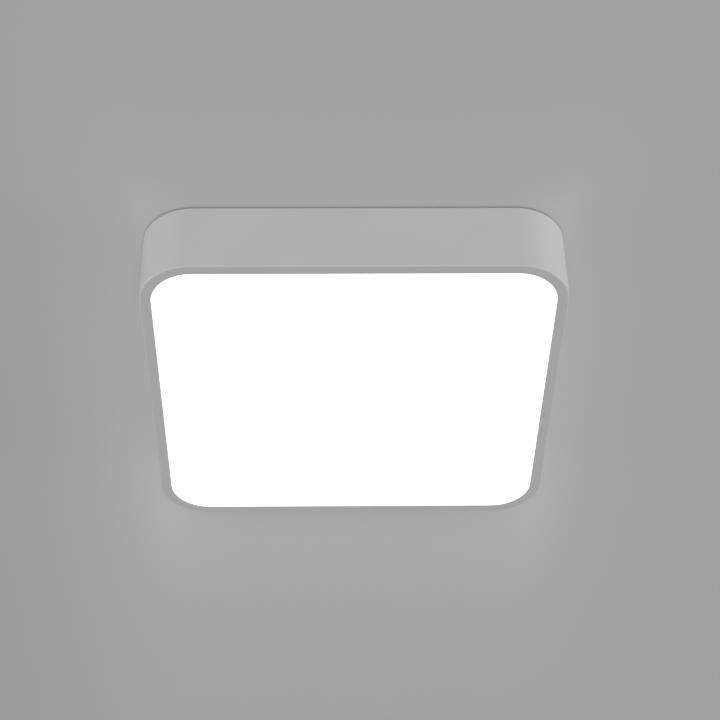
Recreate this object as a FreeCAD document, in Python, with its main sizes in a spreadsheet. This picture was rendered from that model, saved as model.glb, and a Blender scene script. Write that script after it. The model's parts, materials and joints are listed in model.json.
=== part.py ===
"""Square flush mount LED ceiling light, about 300 mm wide and 55 mm deep, as a parametric assembly.

Everything is in millimetres. +Z is up, and the origin is the middle of the face that lies on the ceiling, so the
whole light hangs below z = 0. The viewer of the photograph stands on the -Y side.

The ceiling side is a pressed pan that carries the lever terminal, the LED driver and a white gear tray with four LED
strips. The cover is a bent aluminium profile with a moulded opal diffuser in its groove. Four leaf springs on the
pan snap under a rib of the profile, so that the cover pulls straight down without tools.
"""

import FreeCAD, Part
import math
import os
from types import SimpleNamespace

import Sketcher
from FreeCAD import Placement, Rotation, Vector

# The driving dimensions: alias, millimetres, what it is.
SIZES = (
    # cover frame, a profile bent to a rounded square
    ("frame_width", 300.0, "outer width of the square frame"),
    ("frame_height", 54.0, "height of the frame's side wall"),
    ("frame_corner", 38.0, "outer radius of the frame's corners"),
    ("frame_wall", 1.2, "thickness of the profile's wall"),
    ("frame_edge", 1.5, "rounding between wall and lip"),
    ("ceiling_gap", 1.0, "shadow gap between frame and ceiling"),
    ("lip_width", 8.3, "visible width of the lip round the diffuser"),
    ("lip_sheet", 1.5, "thickness of the lip"),
    ("rib_reach", 3.2, "how far the inner ribs stand out of the wall"),
    ("groove_height", 2.2, "height of the groove that holds the diffuser"),
    ("groove_rib", 1.0, "thickness of the rib above the groove"),
    ("catch_rib", 1.2, "thickness of the rib that the springs snap under"),
    # diffuser
    ("diffuser_fit", 0.1, "gap between the diffuser's face and the lip"),
    ("diffuser_sheet", 2.0, "wall of the diffuser"),
    ("diffuser_flange", 2.0, "thickness of the flange in the groove"),
    ("diffuser_edge", 0.4, "chamfer round the diffuser's face"),
    ("flange_fit", 0.4, "gap between the flange and the frame's wall"),
    # ceiling pan
    ("pan_fit", 0.5, "gap between pan and frame"),
    ("pan_sheet", 0.8, "sheet thickness of the pan"),
    ("pan_depth", 16.0, "height of the pan's turned-down flange"),
    ("pan_bend", 1.8, "outer bend radius of the pan"),
    ("bead_inset", 18.0, "pan edge to the middle of the square bead"),
    ("bead_width", 7.0, "width of the pressed bead"),
    ("bead_depth", 1.2, "depth of the pressed bead"),
    ("dish_radius", 30.0, "radius of the dish round the cable entry"),
    ("dish_slope", 4.0, "run of the dish's sloping side"),
    ("dish_depth", 3.0, "depth of the dish"),
    ("cable_hole", 7.0, "radius of the hole for the grommet"),
    ("grommet_bore", 4.0, "radius of the grommet's bore"),
    ("grommet_brim", 2.2, "how far the grommet grips past its hole"),
    ("grommet_lip", 1.6, "thickness of the grommet's lips"),
    ("fixing_inset", 44.0, "tray's edge to the fixing slots along X"),
    ("fixing_aside", 19.0, "middle of an outer strip to the fixing slots along Y"),
    ("fixing_width", 5.0, "width of a fixing slot"),
    ("fixing_length", 12.0, "length of a fixing slot"),
    ("dimple_radius", 5.5, "radius of a screw dimple"),
    ("dimple_depth", 2.0, "depth of a screw dimple"),
    # leaf spring catches
    ("spring_sheet", 0.6, "thickness of a leaf spring"),
    ("spring_width", 14.0, "width of a leaf spring"),
    ("spring_top", 3.5, "ceiling to the upper end of a leaf spring"),
    ("spring_fit", 0.3, "gap between a leaf spring and the catch rib"),
    ("spring_bump", 2.1, "how far the bump reaches out under the rib"),
    ("spring_rise", 2.6, "height of the bump's holding slope"),
    ("spring_lead", 3.4, "height of the bump's lead-in slope"),
    ("catch_rivet_drop", 8.0, "ceiling to the middle of a catch rivet"),
    ("catch_rivet_radius", 1.5, "shank radius of a catch rivet"),
    # gear tray
    ("tray_drop", 23.0, "ceiling to the tray's upper face"),
    ("tray_gap", 7.7, "tray's edge to the lip's inner edge"),
    ("tray_corner", 24.0, "corner radius of the tray"),
    ("tray_sheet", 0.6, "sheet thickness of the tray"),
    ("tray_flange", 8.0, "height of the tray's turned-up flange"),
    ("wiring_room", 54.0, "room in the window in front of the terminal's mouth"),
    ("window_margin", 2.0, "terminal's rear face to the window's end"),
    ("window_width", 48.0, "width of the wiring window"),
    ("window_corner", 4.0, "corner radius of the wiring window"),
    ("access_radius", 8.0, "radius of the tool holes below the fixing slots"),
    ("pillar_inset", 24.0, "tray's edge to the pillars along X"),
    ("pillar_radius", 3.5, "radius over the corners of a pillar"),
    ("thread_fit", 0.05, "radial gap between a thread and its screw"),
    ("pillar_thread", 10.0, "depth of the thread in a pillar"),
    ("bush_inset_x", 16.0, "tray's edge to the lead bush along X"),
    ("bush_inset_y", 12.0, "tray's edge to the lead bush along Y"),
    ("bush_hole", 4.5, "radius of the hole for the lead bush"),
    ("bush_bore", 3.2, "radius of the lead bush's bore"),
    ("bush_brim", 1.5, "how far the lead bush grips past its hole"),
    ("bush_lip", 1.2, "thickness of the lead bush's lips"),
    # LED strips
    ("strip_side", 2.0, "tray's edge to the shares that the strips have of its width"),
    ("strip_inset", 9.0, "tray's edge to the ends of the strips"),
    ("strip_width", 14.0, "width of a strip"),
    ("strip_sheet", 1.0, "thickness of a strip"),
    ("led_inset", 26.0, "end of a strip to the middle of its first LED"),
    ("chip_width", 3.0, "width of an LED package"),
    ("chip_height", 0.7, "height of an LED package"),
    ("lens_radius", 7.5, "radius of a lens"),
    ("lens_height", 5.0, "height of a lens"),
    ("lens_skirt", 1.2, "height of a lens's straight skirt"),
    ("lens_pocket", 0.8, "gap between the LED and its pocket in the lens"),
    ("push_rivet_radius", 1.5, "shank radius of a push rivet"),
    ("push_rivet_head", 3.0, "head radius of a push rivet"),
    ("push_rivet_rise", 1.2, "height of a push rivet's two heads"),
    ("socket_length", 8.0, "length of a strip's socket"),
    ("socket_width", 10.0, "width of a strip's socket"),
    ("socket_height", 4.5, "height of a strip's socket"),
    ("socket_inset", 3.0, "end of the strip to the socket"),
    ("link_width", 3.2, "width of the twin leads between strips"),
    ("link_sheet", 1.6, "thickness of the twin leads between strips"),
    ("link_reach", 5.0, "how far the twin leads stand out of the sockets"),
    ("link_bend", 3.0, "bend radius of the twin leads"),
    # driver
    ("driver_y", 74.0, "middle of the driver along Y"),
    ("driver_length", 96.0, "length of the driver's case"),
    ("driver_width", 36.0, "width of the driver's case"),
    ("driver_corner", 3.0, "corner radius of the driver's case"),
    ("driver_wall", 1.6, "wall of the driver's case"),
    ("case_height", 11.0, "height of the case's half on the pan"),
    ("lid_height", 7.5, "height of the case's lid"),
    ("lid_lip", 2.0, "height of the lid's inner lip"),
    ("lid_fit", 0.2, "clearance between lip and case"),
    ("ear_length", 12.0, "how far the fixing ears stand out"),
    ("ear_width", 14.0, "width of the fixing ears"),
    ("ear_sheet", 2.5, "thickness of the fixing ears"),
    ("ear_hole", 1.7, "radius of the ears' screw holes"),
    ("board_post", 1.4, "height of the posts below the driver's board"),
    ("board_sheet", 1.6, "thickness of the driver's board"),
    ("board_fit", 0.8, "gap round the driver's board"),
    ("core_length", 18.0, "length of the transformer"),
    ("core_width", 16.0, "width of the transformer's core"),
    ("core_height", 11.0, "height of the transformer"),
    ("bulk_radius", 5.0, "radius of the input capacitor"),
    ("bulk_height", 10.5, "height of the capacitors"),
    ("smooth_radius", 4.0, "radius of the output capacitor"),
    ("plug_width", 12.0, "width of the driver's plugs"),
    ("plug_height", 6.0, "height of the driver's plugs"),
    ("plug_length", 9.0, "length of the driver's plugs"),
    ("plug_reach", 4.0, "how far the plugs stand out of the case"),
    # small screws
    ("screw_radius", 1.25, "shank radius of the M3 screws"),
    ("screw_head", 2.8, "head radius of the M3 screws"),
    ("screw_head_height", 1.9, "head height of the M3 screws"),
    # terminal
    ("terminal_gap", 0.5, "edge of the dish to the terminal's mouth"),
    ("terminal_length", 30.0, "length of the terminal"),
    ("terminal_height", 10.5, "height of the terminal"),
    ("post_width", 3.0, "width of the posts below the driver's board"),
    ("pole_pitch", 7.6, "width of one pole's housing"),
    ("entry_radius", 1.5, "radius of a conductor entry"),
    ("entry_depth", 12.0, "depth of a conductor entry"),
    ("entry_height", 3.6, "terminal's foot to the entries' axis"),
    ("tail_radius", 1.25, "radius of the holes for the inner wires"),
    ("tail_depth", 6.0, "depth of the holes for the inner wires"),
    ("lever_slot_width", 5.6, "width of a lever's slot"),
    ("lever_slot_depth", 3.4, "depth of a lever's slot"),
    ("lever_slot_length", 23.0, "length of a lever's slot"),
    ("lever_end_gap", 2.0, "terminal's rear face to the slots"),
    ("lever_length", 18.5, "pivot to the lever's tip"),
    ("lever_width", 5.2, "width of a lever"),
    ("lever_thickness", 2.7, "thickness of a lever"),
    ("lever_heel", 1.5, "radius of a lever's heel"),
    ("pivot_radius", 1.0, "radius of a lever's pivot pin"),
    ("pivot_fit", 0.06, "radial clearance of the pivot pin"),
    ("pivot_length", 6.8, "length of a lever's pivot pin"),
    ("tab_length", 8.0, "length of the terminal's fixing tabs"),
    ("tab_reach", 8.5, "how far the fixing tabs stand out"),
    # earth
    ("earth_x", 76.0, "place of the earth stud along X"),
    ("earth_y", -30.0, "place of the earth stud along Y"),
    ("stud_radius", 2.0, "radius of the earth stud"),
    ("stud_head", 3.2, "radius of the stud's clinched head"),
    ("stud_length", 8.5, "length of the earth stud below the pan"),
    ("nut_radius", 4.0, "radius over the nut's corners"),
    ("nut_height", 3.2, "height of the nut"),
    ("lug_sheet", 0.8, "thickness of the ring lug"),
    ("lug_radius", 4.2, "radius of the ring lug"),
    ("lug_neck", 0.6, "gap between the nut and the lug's barrel"),
    ("barrel_radius", 1.7, "radius of the lug's barrel"),
    ("barrel_length", 7.0, "length of the lug's barrel"),
    # wires
    ("mains_wire", 1.1, "radius of the mains wires"),
    ("lead_wire", 1.4, "radius of the two-core LED lead"),
    ("wire_bend", 5.0, "bend radius of the wires"),
)

STRIPS = 4
LEDS_PER_STRIP = 4
RIVETS_PER_STRIP = 2
POLES = 3


class Size:
    """A length together with the sheet expression that gives it, so that both follow one formula."""

    def __init__(self, value, text):
        self.value = float(value)
        self.text = text

    def __add__(self, other):
        return joined(self, other, "+", lambda a, b: a + b)

    def __sub__(self, other):
        return joined(self, other, "-", lambda a, b: a - b)

    def __mul__(self, other):
        return joined(self, other, "*", lambda a, b: a * b)

    def __truediv__(self, other):
        return joined(self, other, "/", lambda a, b: a / b)

    def __radd__(self, other):
        return size_of(other) + self

    def __rsub__(self, other):
        return size_of(other) - self

    def __rmul__(self, other):
        return size_of(other) * self

    def __neg__(self):
        return size_of(0) - self


def size_of(number):
    """A Size as it is, and a plain number as a Size."""
    if isinstance(number, Size):
        return number
    return Size(number, repr(float(number)))


def joined(left, right, sign, rule):
    """Two sizes in one formula."""
    left, right = size_of(left), size_of(right)
    return Size(rule(left.value, right.value), f"({left.text} {sign} {right.text})")


def make_sheet(doc):
    """Writes the driving dimensions to the spreadsheet and returns them as named Sizes."""
    sheet = doc.addObject("Spreadsheet::Sheet", "sizes")
    named = SimpleNamespace()
    for row, (alias, value, meaning) in enumerate(SIZES, start=1):
        sheet.set(f"A{row}", meaning)
        sheet.set(f"B{row}", str(value))
        sheet.setAlias(f"B{row}", alias)
        setattr(named, alias, Size(value, f"sizes.{alias}"))
    doc.recompute()
    return named


doc = FreeCAD.newDocument("ceiling_light")
mm = make_sheet(doc)


# ---------------------------------------------------------------- levels and outlines that several pieces share

frame_half = mm.frame_width / 2
wall_inside = frame_half - mm.frame_wall
lip_face = -(mm.ceiling_gap + mm.frame_height)
lip_top = lip_face + mm.lip_sheet
rib_edge = wall_inside - mm.rib_reach

pan_half = wall_inside - mm.pan_fit
pan_corner = mm.frame_corner - mm.frame_wall - mm.pan_fit
flange_inside = pan_half - mm.pan_sheet
pan_under = -mm.pan_sheet
dimple_foot = -(mm.pan_sheet + mm.dimple_depth)
dish_foot = -(mm.pan_sheet + mm.dish_depth)

tray_half = frame_half - mm.lip_width - mm.tray_gap
tray_top = -mm.tray_drop
tray_under = tray_top - mm.tray_sheet
strip_under = tray_under - mm.strip_sheet
strip_half = tray_half - mm.strip_inset
strip_left = -strip_half
strip_pitch = (tray_half - mm.strip_side) * 2 / STRIPS
led_pitch = (strip_half - mm.led_inset) * 2 / (LEDS_PER_STRIP - 1)
first_strip = -strip_pitch * ((STRIPS - 1) / 2)
first_led = -led_pitch * ((LEDS_PER_STRIP - 1) / 2)
rivet_step = led_pitch * (LEDS_PER_STRIP - 2)
first_rivet = -rivet_step / 2

# Pillars stand between the two outer strips of each side, and fixing slots beside the outer ones.
pillar_step_x = (tray_half - mm.pillar_inset) * 2
pillar_step_y = strip_pitch * 2
fixing_step_x = (tray_half - mm.fixing_inset) * 2
fixing_step_y = (-first_strip - mm.fixing_aside) * 2
bush_x = mm.bush_inset_x - tray_half
bush_y = tray_half - mm.bush_inset_y

case_foot = dimple_foot
case_rim = case_foot - mm.case_height
lid_face = case_rim - mm.lid_height
ear_x = mm.driver_length / 2 + mm.ear_length / 2
plug_z = case_rim + mm.plug_height / 2

terminal_half = mm.terminal_length / 2
terminal_face = dimple_foot - mm.terminal_height
entry_z = dimple_foot - mm.entry_height
mouth_x = mm.dish_radius + mm.terminal_gap
terminal_x = mouth_x + terminal_half
tail_x = mouth_x + mm.terminal_length
tab_y = mm.pole_pitch * POLES / 2 + mm.tab_reach / 2
pivot_x = tail_x - mm.lever_end_gap - mm.lever_heel * 1.2
pivot_z = terminal_face + mm.lever_heel + mm.thread_fit * 2


# ---------------------------------------------------------------- sketch and feature helpers


def bind(thing, path, size):
    """Ties a property or constraint to the sheet, where its size has an alias in it."""
    if "sizes." in size.text:
        thing.setExpression(path, size.text)


def new_body(label):
    body = doc.addObject("PartDesign::Body", label)
    body.Label = label
    return body


def origin_part(body, role):
    """One of the body's own origin planes or axes, such as XY_Plane or Z_Axis."""
    return next(f for f in body.Origin.OriginFeatures if f.Role == role)


def new_sketch(body, plane, x=0, y=0, z=0):
    """A sketch on an origin plane of its body, moved by x and y in the plane and by z along its normal."""
    sketch = body.newObject("Sketcher::SketchObject", f"{body.Name}_sketch")
    sketch.AttachmentSupport = [(origin_part(body, plane), "")]
    sketch.MapMode = "FlatFace"
    offset = [size_of(number) for number in (x, y, z)]
    sketch.AttachmentOffset = Placement(Vector(*[size.value for size in offset]), Rotation())
    for letter, size in zip("xyz", offset):
        bind(sketch, f"AttachmentOffset.Base.{letter}", size)
    return sketch


def datum(sketch, kind, size, *where):
    """A dimension of the sketch, tied to the sheet."""
    size = size_of(size)
    index = sketch.addConstraint(Sketcher.Constraint(kind, *where, size.value))
    bind(sketch, f"Constraints[{index}]", size)


def pin_point(sketch, edge, end, x, y):
    """Fixes one end of an edge at x, y of the sketch."""
    for kind, size, axis in (("DistanceX", size_of(x), -2), ("DistanceY", size_of(y), -1)):
        if abs(size.value) < 1e-9:
            sketch.addConstraint(Sketcher.Constraint("PointOnObject", edge, end, axis))
        else:
            datum(sketch, kind, size, -1, 1, edge, end)


def polygon(sketch, points):
    """A closed outline through points that each have an x and a y."""
    first = sketch.GeometryCount
    places = [Vector(size_of(x).value, size_of(y).value, 0) for x, y in points]
    for start, end in zip(places, places[1:] + places[:1]):
        sketch.addGeometry(Part.LineSegment(start, end), False)
    for number, (x, y) in enumerate(points):
        following = first + (number + 1) % len(points)
        sketch.addConstraint(Sketcher.Constraint("Coincident", first + number, 2, following, 1))
        pin_point(sketch, first + number, 1, x, y)


def circle(sketch, radius, x=0, y=0):
    x, y, radius = size_of(x), size_of(y), size_of(radius)
    edge = sketch.addGeometry(Part.Circle(Vector(x.value, y.value, 0), Vector(0, 0, 1), radius.value), False)
    datum(sketch, "Radius", radius, edge)
    pin_point(sketch, edge, 3, x, y)


def rectangle(sketch, half_x, half_y, x=0, y=0):
    polygon(sketch, [(x - half_x, y - half_y), (x + half_x, y - half_y),
                     (x + half_x, y + half_y), (x - half_x, y + half_y)])


def small_round(sketch, radius, x=0, y=0, sides=8):
    """A regular polygon that stands for the circle of a small or often repeated piece, so that it has few faces."""
    turns = [math.pi * (2 * number + 1) / sides for number in range(sides)]
    polygon(sketch, [(x + radius * round(math.cos(turn), 9), y + radius * round(math.sin(turn), 9))
                     for turn in turns])


def chain(sketch, corners, radius, closed=True):
    """Straight runs through corners with each corner rounded to radius. Runs lie along the sketch's axes.

    An open chain starts and ends at its first and last point, which aren't rounded.
    """
    radius = size_of(radius)
    places = [Vector(size_of(x).value, size_of(y).value, 0) for x, y in corners]
    count = len(places)
    turns = list(range(count)) if closed else list(range(1, count - 1))
    runs = count if closed else count - 1
    first = sketch.GeometryCount

    def towards(start, end):
        return (places[end % count] - places[start % count]).normalize() * radius.value

    for run in range(runs):
        start, end = run, (run + 1) % count
        begin = places[start] + (towards(start, end) if start in turns else Vector())
        finish = places[end] - (towards(start, end) if end in turns else Vector())
        sketch.addGeometry(Part.LineSegment(begin, finish), False)
    for turn in turns:
        back, ahead = towards(turn, turn - 1), towards(turn, turn + 1)
        centre = places[turn] + back + ahead
        middle = centre - (back + ahead).normalize() * radius.value
        sketch.addGeometry(Part.Arc(places[turn] + back, middle, places[turn] + ahead), False)
    arcs = [first + runs + number for number in range(len(turns))]
    for number, turn in enumerate(turns):
        before, after = first + (turn - 1) % count, first + turn % count
        arc_in, arc_out = arc_ends(sketch, arcs[number], before)
        sketch.addConstraint(Sketcher.Constraint("Tangent", before, 2, arcs[number], arc_in))
        sketch.addConstraint(Sketcher.Constraint("Tangent", arcs[number], arc_out, after, 1))
        if number:
            sketch.addConstraint(Sketcher.Constraint("Equal", arcs[0], arcs[number]))
    datum(sketch, "Radius", radius, arcs[0])
    for run in range(runs):
        start, end = run, (run + 1) % count
        flat = abs(places[start].y - places[end].y) < 1e-9
        sketch.addConstraint(Sketcher.Constraint("Horizontal" if flat else "Vertical", first + run))
        kind, size = ("DistanceY", corners[start][1]) if flat else ("DistanceX", corners[start][0])
        datum(sketch, kind, size, -1, 1, first + run, 1)
    if not closed:
        for run, end, place in ((first, 1, 0), (first + runs - 1, 2, count - 1)):
            flat = abs(places[place].y - places[place - 1 if place else 1].y) < 1e-9
            kind, size = ("DistanceX", corners[place][0]) if flat else ("DistanceY", corners[place][1])
            datum(sketch, kind, size, -1, 1, run, end)


def arc_ends(sketch, arc, line):
    """Which end of the arc, 1 or 2, meets the end of the line, and the other one."""
    meets = sketch.getPoint(line, 2).distanceToPoint(sketch.getPoint(arc, 1)) < 1e-6
    return (1, 2) if meets else (2, 1)


def rounded(sketch, half_x, half_y, radius):
    """A rounded rectangle about the sketch's origin."""
    chain(sketch, [(-half_x, -half_y), (half_x, -half_y), (half_x, half_y), (-half_x, half_y)], radius)


def finish_feature(body, feature, base_volume, grows):
    """Recomputes, and stops if a feature that should add or cut material did neither."""
    body.Tip = feature
    doc.recompute()
    change = feature.Shape.Volume - base_volume
    if not (change > 1e-6 if grows else change < -1e-6):
        raise ValueError(f"{body.Label}: {feature.Name} changed the volume by {change:.4f}")
    return feature


def volume_of(body):
    return body.Tip.Shape.Volume if body.Tip else 0.0


def extrude(body, kind, sketch, length, reverse, both, taper):
    before = volume_of(body)
    feature = body.newObject(f"PartDesign::{kind}", f"{body.Name}_{kind.lower()}")
    feature.Profile = sketch
    length = size_of(length)
    feature.Length = length.value
    bind(feature, "Length", length)
    feature.SideType = "Symmetric" if both else "One side"
    feature.Reversed = reverse
    feature.TaperAngle = taper
    return finish_feature(body, feature, before, kind == "Pad")


def pad(body, sketch, length, down=False, both=False, taper=0):
    """Adds material along the sketch's normal, or against it where down is true."""
    return extrude(body, "Pad", sketch, length, down, both, taper)


def pocket(body, sketch, length, up=False, both=False, taper=0):
    """Cuts against the sketch's normal, or along it where up is true."""
    return extrude(body, "Pocket", sketch, length, up, both, taper)


def turn(body, sketch, cut=False, axis="V_Axis"):
    """A full turn of the sketch about one of its own axes, which adds material or cuts it."""
    before = volume_of(body)
    kind = "Groove" if cut else "Revolution"
    feature = body.newObject(f"PartDesign::{kind}", f"{body.Name}_{kind.lower()}")
    feature.Profile = sketch
    feature.ReferenceAxis = (sketch, [axis])
    feature.Angle = 360
    return finish_feature(body, feature, before, not cut)


def grid(body, features, x_count, x_step, y_count=1, y_step=0):
    """Repeats features along +X and +Y, where the counts are over 1."""
    pattern = body.newObject("PartDesign::LinearPattern", f"{body.Name}_grid")
    pattern.Originals = features
    ways = [("X_Axis", x_count, x_step), ("Y_Axis", y_count, y_step)]
    for suffix, (axis, count, step) in zip(("", "2"), [way for way in ways if way[1] > 1]):
        extent = step * (count - 1)
        setattr(pattern, f"Direction{suffix}", (origin_part(body, axis), [""]))
        setattr(pattern, f"Length{suffix}", extent.value)
        bind(pattern, f"Length{suffix}", extent)
        setattr(pattern, f"Occurrences{suffix}", count)
    body.Tip = pattern
    doc.recompute()
    return pattern


def around(body, features, count):
    """Repeats features round the Z axis."""
    pattern = body.newObject("PartDesign::PolarPattern", f"{body.Name}_round")
    pattern.Originals = features
    pattern.Axis = (origin_part(body, "Z_Axis"), [""])
    pattern.Angle = 360
    pattern.Occurrences = count
    body.Tip = pattern
    doc.recompute()
    return pattern


def dress_edges(body, kind, size, chosen):
    """A Fillet or Chamfer on the edges for which chosen(edge) is true."""
    base = body.Tip
    names = [f"Edge{n}" for n, edge in enumerate(base.Shape.Edges, start=1) if chosen(edge)]
    dressed = body.newObject(f"PartDesign::{kind}", f"{body.Name}_{kind.lower()}")
    dressed.Base = (base, names)
    path = "Radius" if kind == "Fillet" else "Size"
    setattr(dressed, path, size.value)
    bind(dressed, path, size)
    body.Tip = dressed
    doc.recompute()
    return dressed


def lies_at(edge, z, reach):
    """True for a level edge at height z whose ends both lie on the square of the given half width or outside it."""
    box = edge.BoundBox
    level = abs(box.ZMin - z.value) < 1e-4 and abs(box.ZMax - z.value) < 1e-4
    return level and all(max(abs(v.X), abs(v.Y)) > reach.value - 1e-3 for v in edge.Vertexes)


def tube(label, points, radius, bend, sides=8):
    """A wire through points, with every corner rounded to bend, or to less where runs are short."""
    places = [Vector(*[size_of(number).value for number in point]) for point in points]
    edges, start = [], places[0]
    for before, corner, after in zip(places, places[1:], places[2:]):
        back, ahead = (before - corner), (after - corner)
        half_turn = (math.pi - back.getAngle(ahead)) / 2
        setback = min(bend.value * math.tan(half_turn), 0.45 * min(back.Length, ahead.Length))
        arc_radius = setback / math.tan(half_turn)
        begin = corner + back.normalize() * setback
        finish = corner + ahead.normalize() * setback
        middle = corner + (back + ahead).normalize() * (arc_radius / math.cos(half_turn) - arc_radius)
        edges.append(Part.LineSegment(start, begin).toShape())
        edges.append(Part.Arc(begin, middle, finish).toShape())
        start = finish
    edges.append(Part.LineSegment(start, places[-1]).toShape())
    path = Part.Wire(edges)
    upright = Rotation(Vector(0, 0, 1), places[1] - places[0])
    angles = [math.pi * (2 * number + 1) / sides for number in range(sides)]
    ring = [places[0] + upright.multVec(Vector(math.cos(angle), math.sin(angle), 0) * radius.value)
            for angle in angles]
    solid = path.makePipeShell([Part.makePolygon(ring + ring[:1])], True, False)
    expected = sides / 2 * math.sin(2 * math.pi / sides) * radius.value ** 2 * path.Length
    if abs(solid.Volume - expected) > 0.02 * expected:
        raise ValueError(f"{label}: volume {solid.Volume:.2f}, but its path needs {expected:.2f}")
    return solid


def solid_piece(label, shape):
    """A sub-part whose shape comes from Part's own functions."""
    piece = doc.addObject("Part::Feature", label)
    piece.Label = label
    piece.Shape = shape
    piece.Placement = Placement()
    return piece


# ---------------------------------------------------------------- cover: frame and diffuser


def frame_profile():
    """The extrusion's section as (distance from the middle plane, height) points, from the outer top edge inwards."""
    catch_foot = -(mm.pan_depth + mm.catch_rib)
    groove_top = lip_top + mm.groove_height
    lip_edge = frame_half - mm.lip_width
    return [
        (frame_half, -mm.ceiling_gap),
        (wall_inside, -mm.ceiling_gap),
        (wall_inside, -mm.pan_depth),
        (rib_edge, -mm.pan_depth),
        (rib_edge, catch_foot),
        (wall_inside, catch_foot),
        (wall_inside, groove_top + mm.groove_rib),
        (rib_edge, groove_top + mm.groove_rib),
        (rib_edge, groove_top),
        (wall_inside, groove_top),
        (wall_inside, lip_top),
        (lip_edge, lip_top),
        (lip_edge, lip_face),
        (frame_half, lip_face),
    ]


def frame_ring():
    """One aluminium profile bent round four corners and welded shut at the middle of the far side, +Y."""
    body = new_body("frame_ring")
    path = new_sketch(body, "XY_Plane")
    chain(path, [(0, frame_half), (frame_half, frame_half), (frame_half, -frame_half),
                 (-frame_half, -frame_half), (-frame_half, frame_half), (0, frame_half)],
          mm.frame_corner, closed=False)
    section = new_sketch(body, "YZ_Plane")
    polygon(section, frame_profile())
    sweep = body.newObject("PartDesign::AdditivePipe", "frame_ring_sweep")
    sweep.Profile = section
    sweep.Spine = path
    finish_feature(body, sweep, 0.0, True)
    dress_edges(body, "Fillet", mm.frame_edge, lambda edge: lies_at(edge, lip_face, frame_half))
    return body


def diffuser():
    """Opal moulding: a flat face flush with the lip, a step up at its edge and a flange in the frame's groove."""
    body = new_body("diffuser")
    face_half = frame_half - mm.lip_width - mm.diffuser_fit
    face_corner = mm.frame_corner - mm.lip_width - mm.diffuser_fit
    flange_half = wall_inside - mm.flange_fit
    flange_corner = mm.frame_corner - mm.frame_wall - mm.flange_fit
    face = new_sketch(body, "XY_Plane", z=lip_face)
    rounded(face, face_half, face_half, face_corner)
    pad(body, face, mm.lip_sheet + mm.diffuser_flange)
    dress_edges(body, "Chamfer", mm.diffuser_edge, lambda edge: lies_at(edge, lip_face, face_half))
    flange = new_sketch(body, "XY_Plane", z=lip_top)
    rounded(flange, flange_half, flange_half, flange_corner)
    pad(body, flange, mm.diffuser_flange)
    hollow = new_sketch(body, "XY_Plane", z=lip_top + mm.diffuser_flange)
    inner = face_half - mm.diffuser_sheet
    rounded(hollow, inner, inner, face_corner - mm.diffuser_sheet)
    pocket(body, hollow, mm.lip_sheet + mm.diffuser_flange - mm.diffuser_sheet)
    return body


# ---------------------------------------------------------------- ceiling pan and its catches


def corner_start(step_x, step_y):
    """The lower left place of a grid of four that is centred on the origin."""
    return -step_x / 2, -step_y / 2


def base_pan():
    """Pressed sheet: turned-down flange, a stiffening bead, a dish round the cable entry and seats for screws."""
    body = new_body("base_pan")
    outline = new_sketch(body, "XY_Plane")
    rounded(outline, pan_half, pan_half, pan_corner)
    pad(body, outline, mm.pan_depth, down=True)
    dress_edges(body, "Fillet", mm.pan_bend, lambda edge: lies_at(edge, size_of(0), pan_half))
    inside = new_sketch(body, "XY_Plane", z=-mm.pan_depth)
    rounded(inside, flange_inside, flange_inside, pan_corner - mm.pan_sheet)
    pocket(body, inside, mm.pan_depth - mm.pan_sheet, up=True)
    pan_bead(body)
    pan_dish(body)
    pan_dimples(body)
    pan_holes(body)
    return body


def pan_bead(body):
    """The square bead: the sheet moves down, so it is a pad below and a pocket above."""
    bead_line = pan_half - mm.bead_inset
    bead_corner = pan_corner - mm.bead_inset
    wide = mm.bead_width / 2
    narrow = wide - mm.pan_sheet
    below = new_sketch(body, "XY_Plane", z=pan_under)
    above = new_sketch(body, "XY_Plane")
    for sketch, half in ((below, wide), (above, narrow)):
        for side in (half, -half):
            rounded(sketch, bead_line + side, bead_line + side, bead_corner + side)
    pad(body, below, mm.bead_depth, down=True)
    pocket(body, above, mm.bead_depth)


def pan_dish(body):
    """The round dish that leaves room for the cable above the grommet."""
    foot_radius = mm.dish_radius - mm.dish_slope
    below = new_sketch(body, "XZ_Plane")
    polygon(below, [(0, pan_under), (mm.dish_radius + mm.pan_sheet * 0.5, pan_under),
                    (foot_radius + mm.pan_sheet * 0.5, dish_foot), (0, dish_foot)])
    turn(body, below)
    above = new_sketch(body, "XZ_Plane")
    polygon(above, [(0, 0), (mm.dish_radius, 0), (foot_radius, -mm.dish_depth), (0, -mm.dish_depth)])
    turn(body, above, cut=True)
    hole = new_sketch(body, "XY_Plane")
    circle(hole, mm.cable_hole)
    pocket(body, hole, mm.dish_depth + mm.pan_sheet * 2)


def screw_places():
    """Where screws hold the driver and the terminal on the pan."""
    return [(ear_x, mm.driver_y), (-ear_x, mm.driver_y), (terminal_x, tab_y), (terminal_x, -tab_y)]


def pan_dimples(body):
    """Sunk seats for the driver and the terminal, which keep the screws' tips below the ceiling face."""
    below = new_sketch(body, "XY_Plane", z=pan_under)
    above = new_sketch(body, "XY_Plane")
    holes = new_sketch(body, "XY_Plane")
    for x, y in screw_places():
        small_round(below, mm.dimple_radius + mm.pan_sheet, x, y, sides=12)
        small_round(above, mm.dimple_radius, x, y, sides=12)
        small_round(holes, mm.screw_radius + mm.thread_fit, x, y)
    pad(body, below, mm.dimple_depth, down=True)
    pocket(body, above, mm.dimple_depth)
    pocket(body, holes, mm.dimple_depth + mm.pan_sheet * 2)


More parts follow.
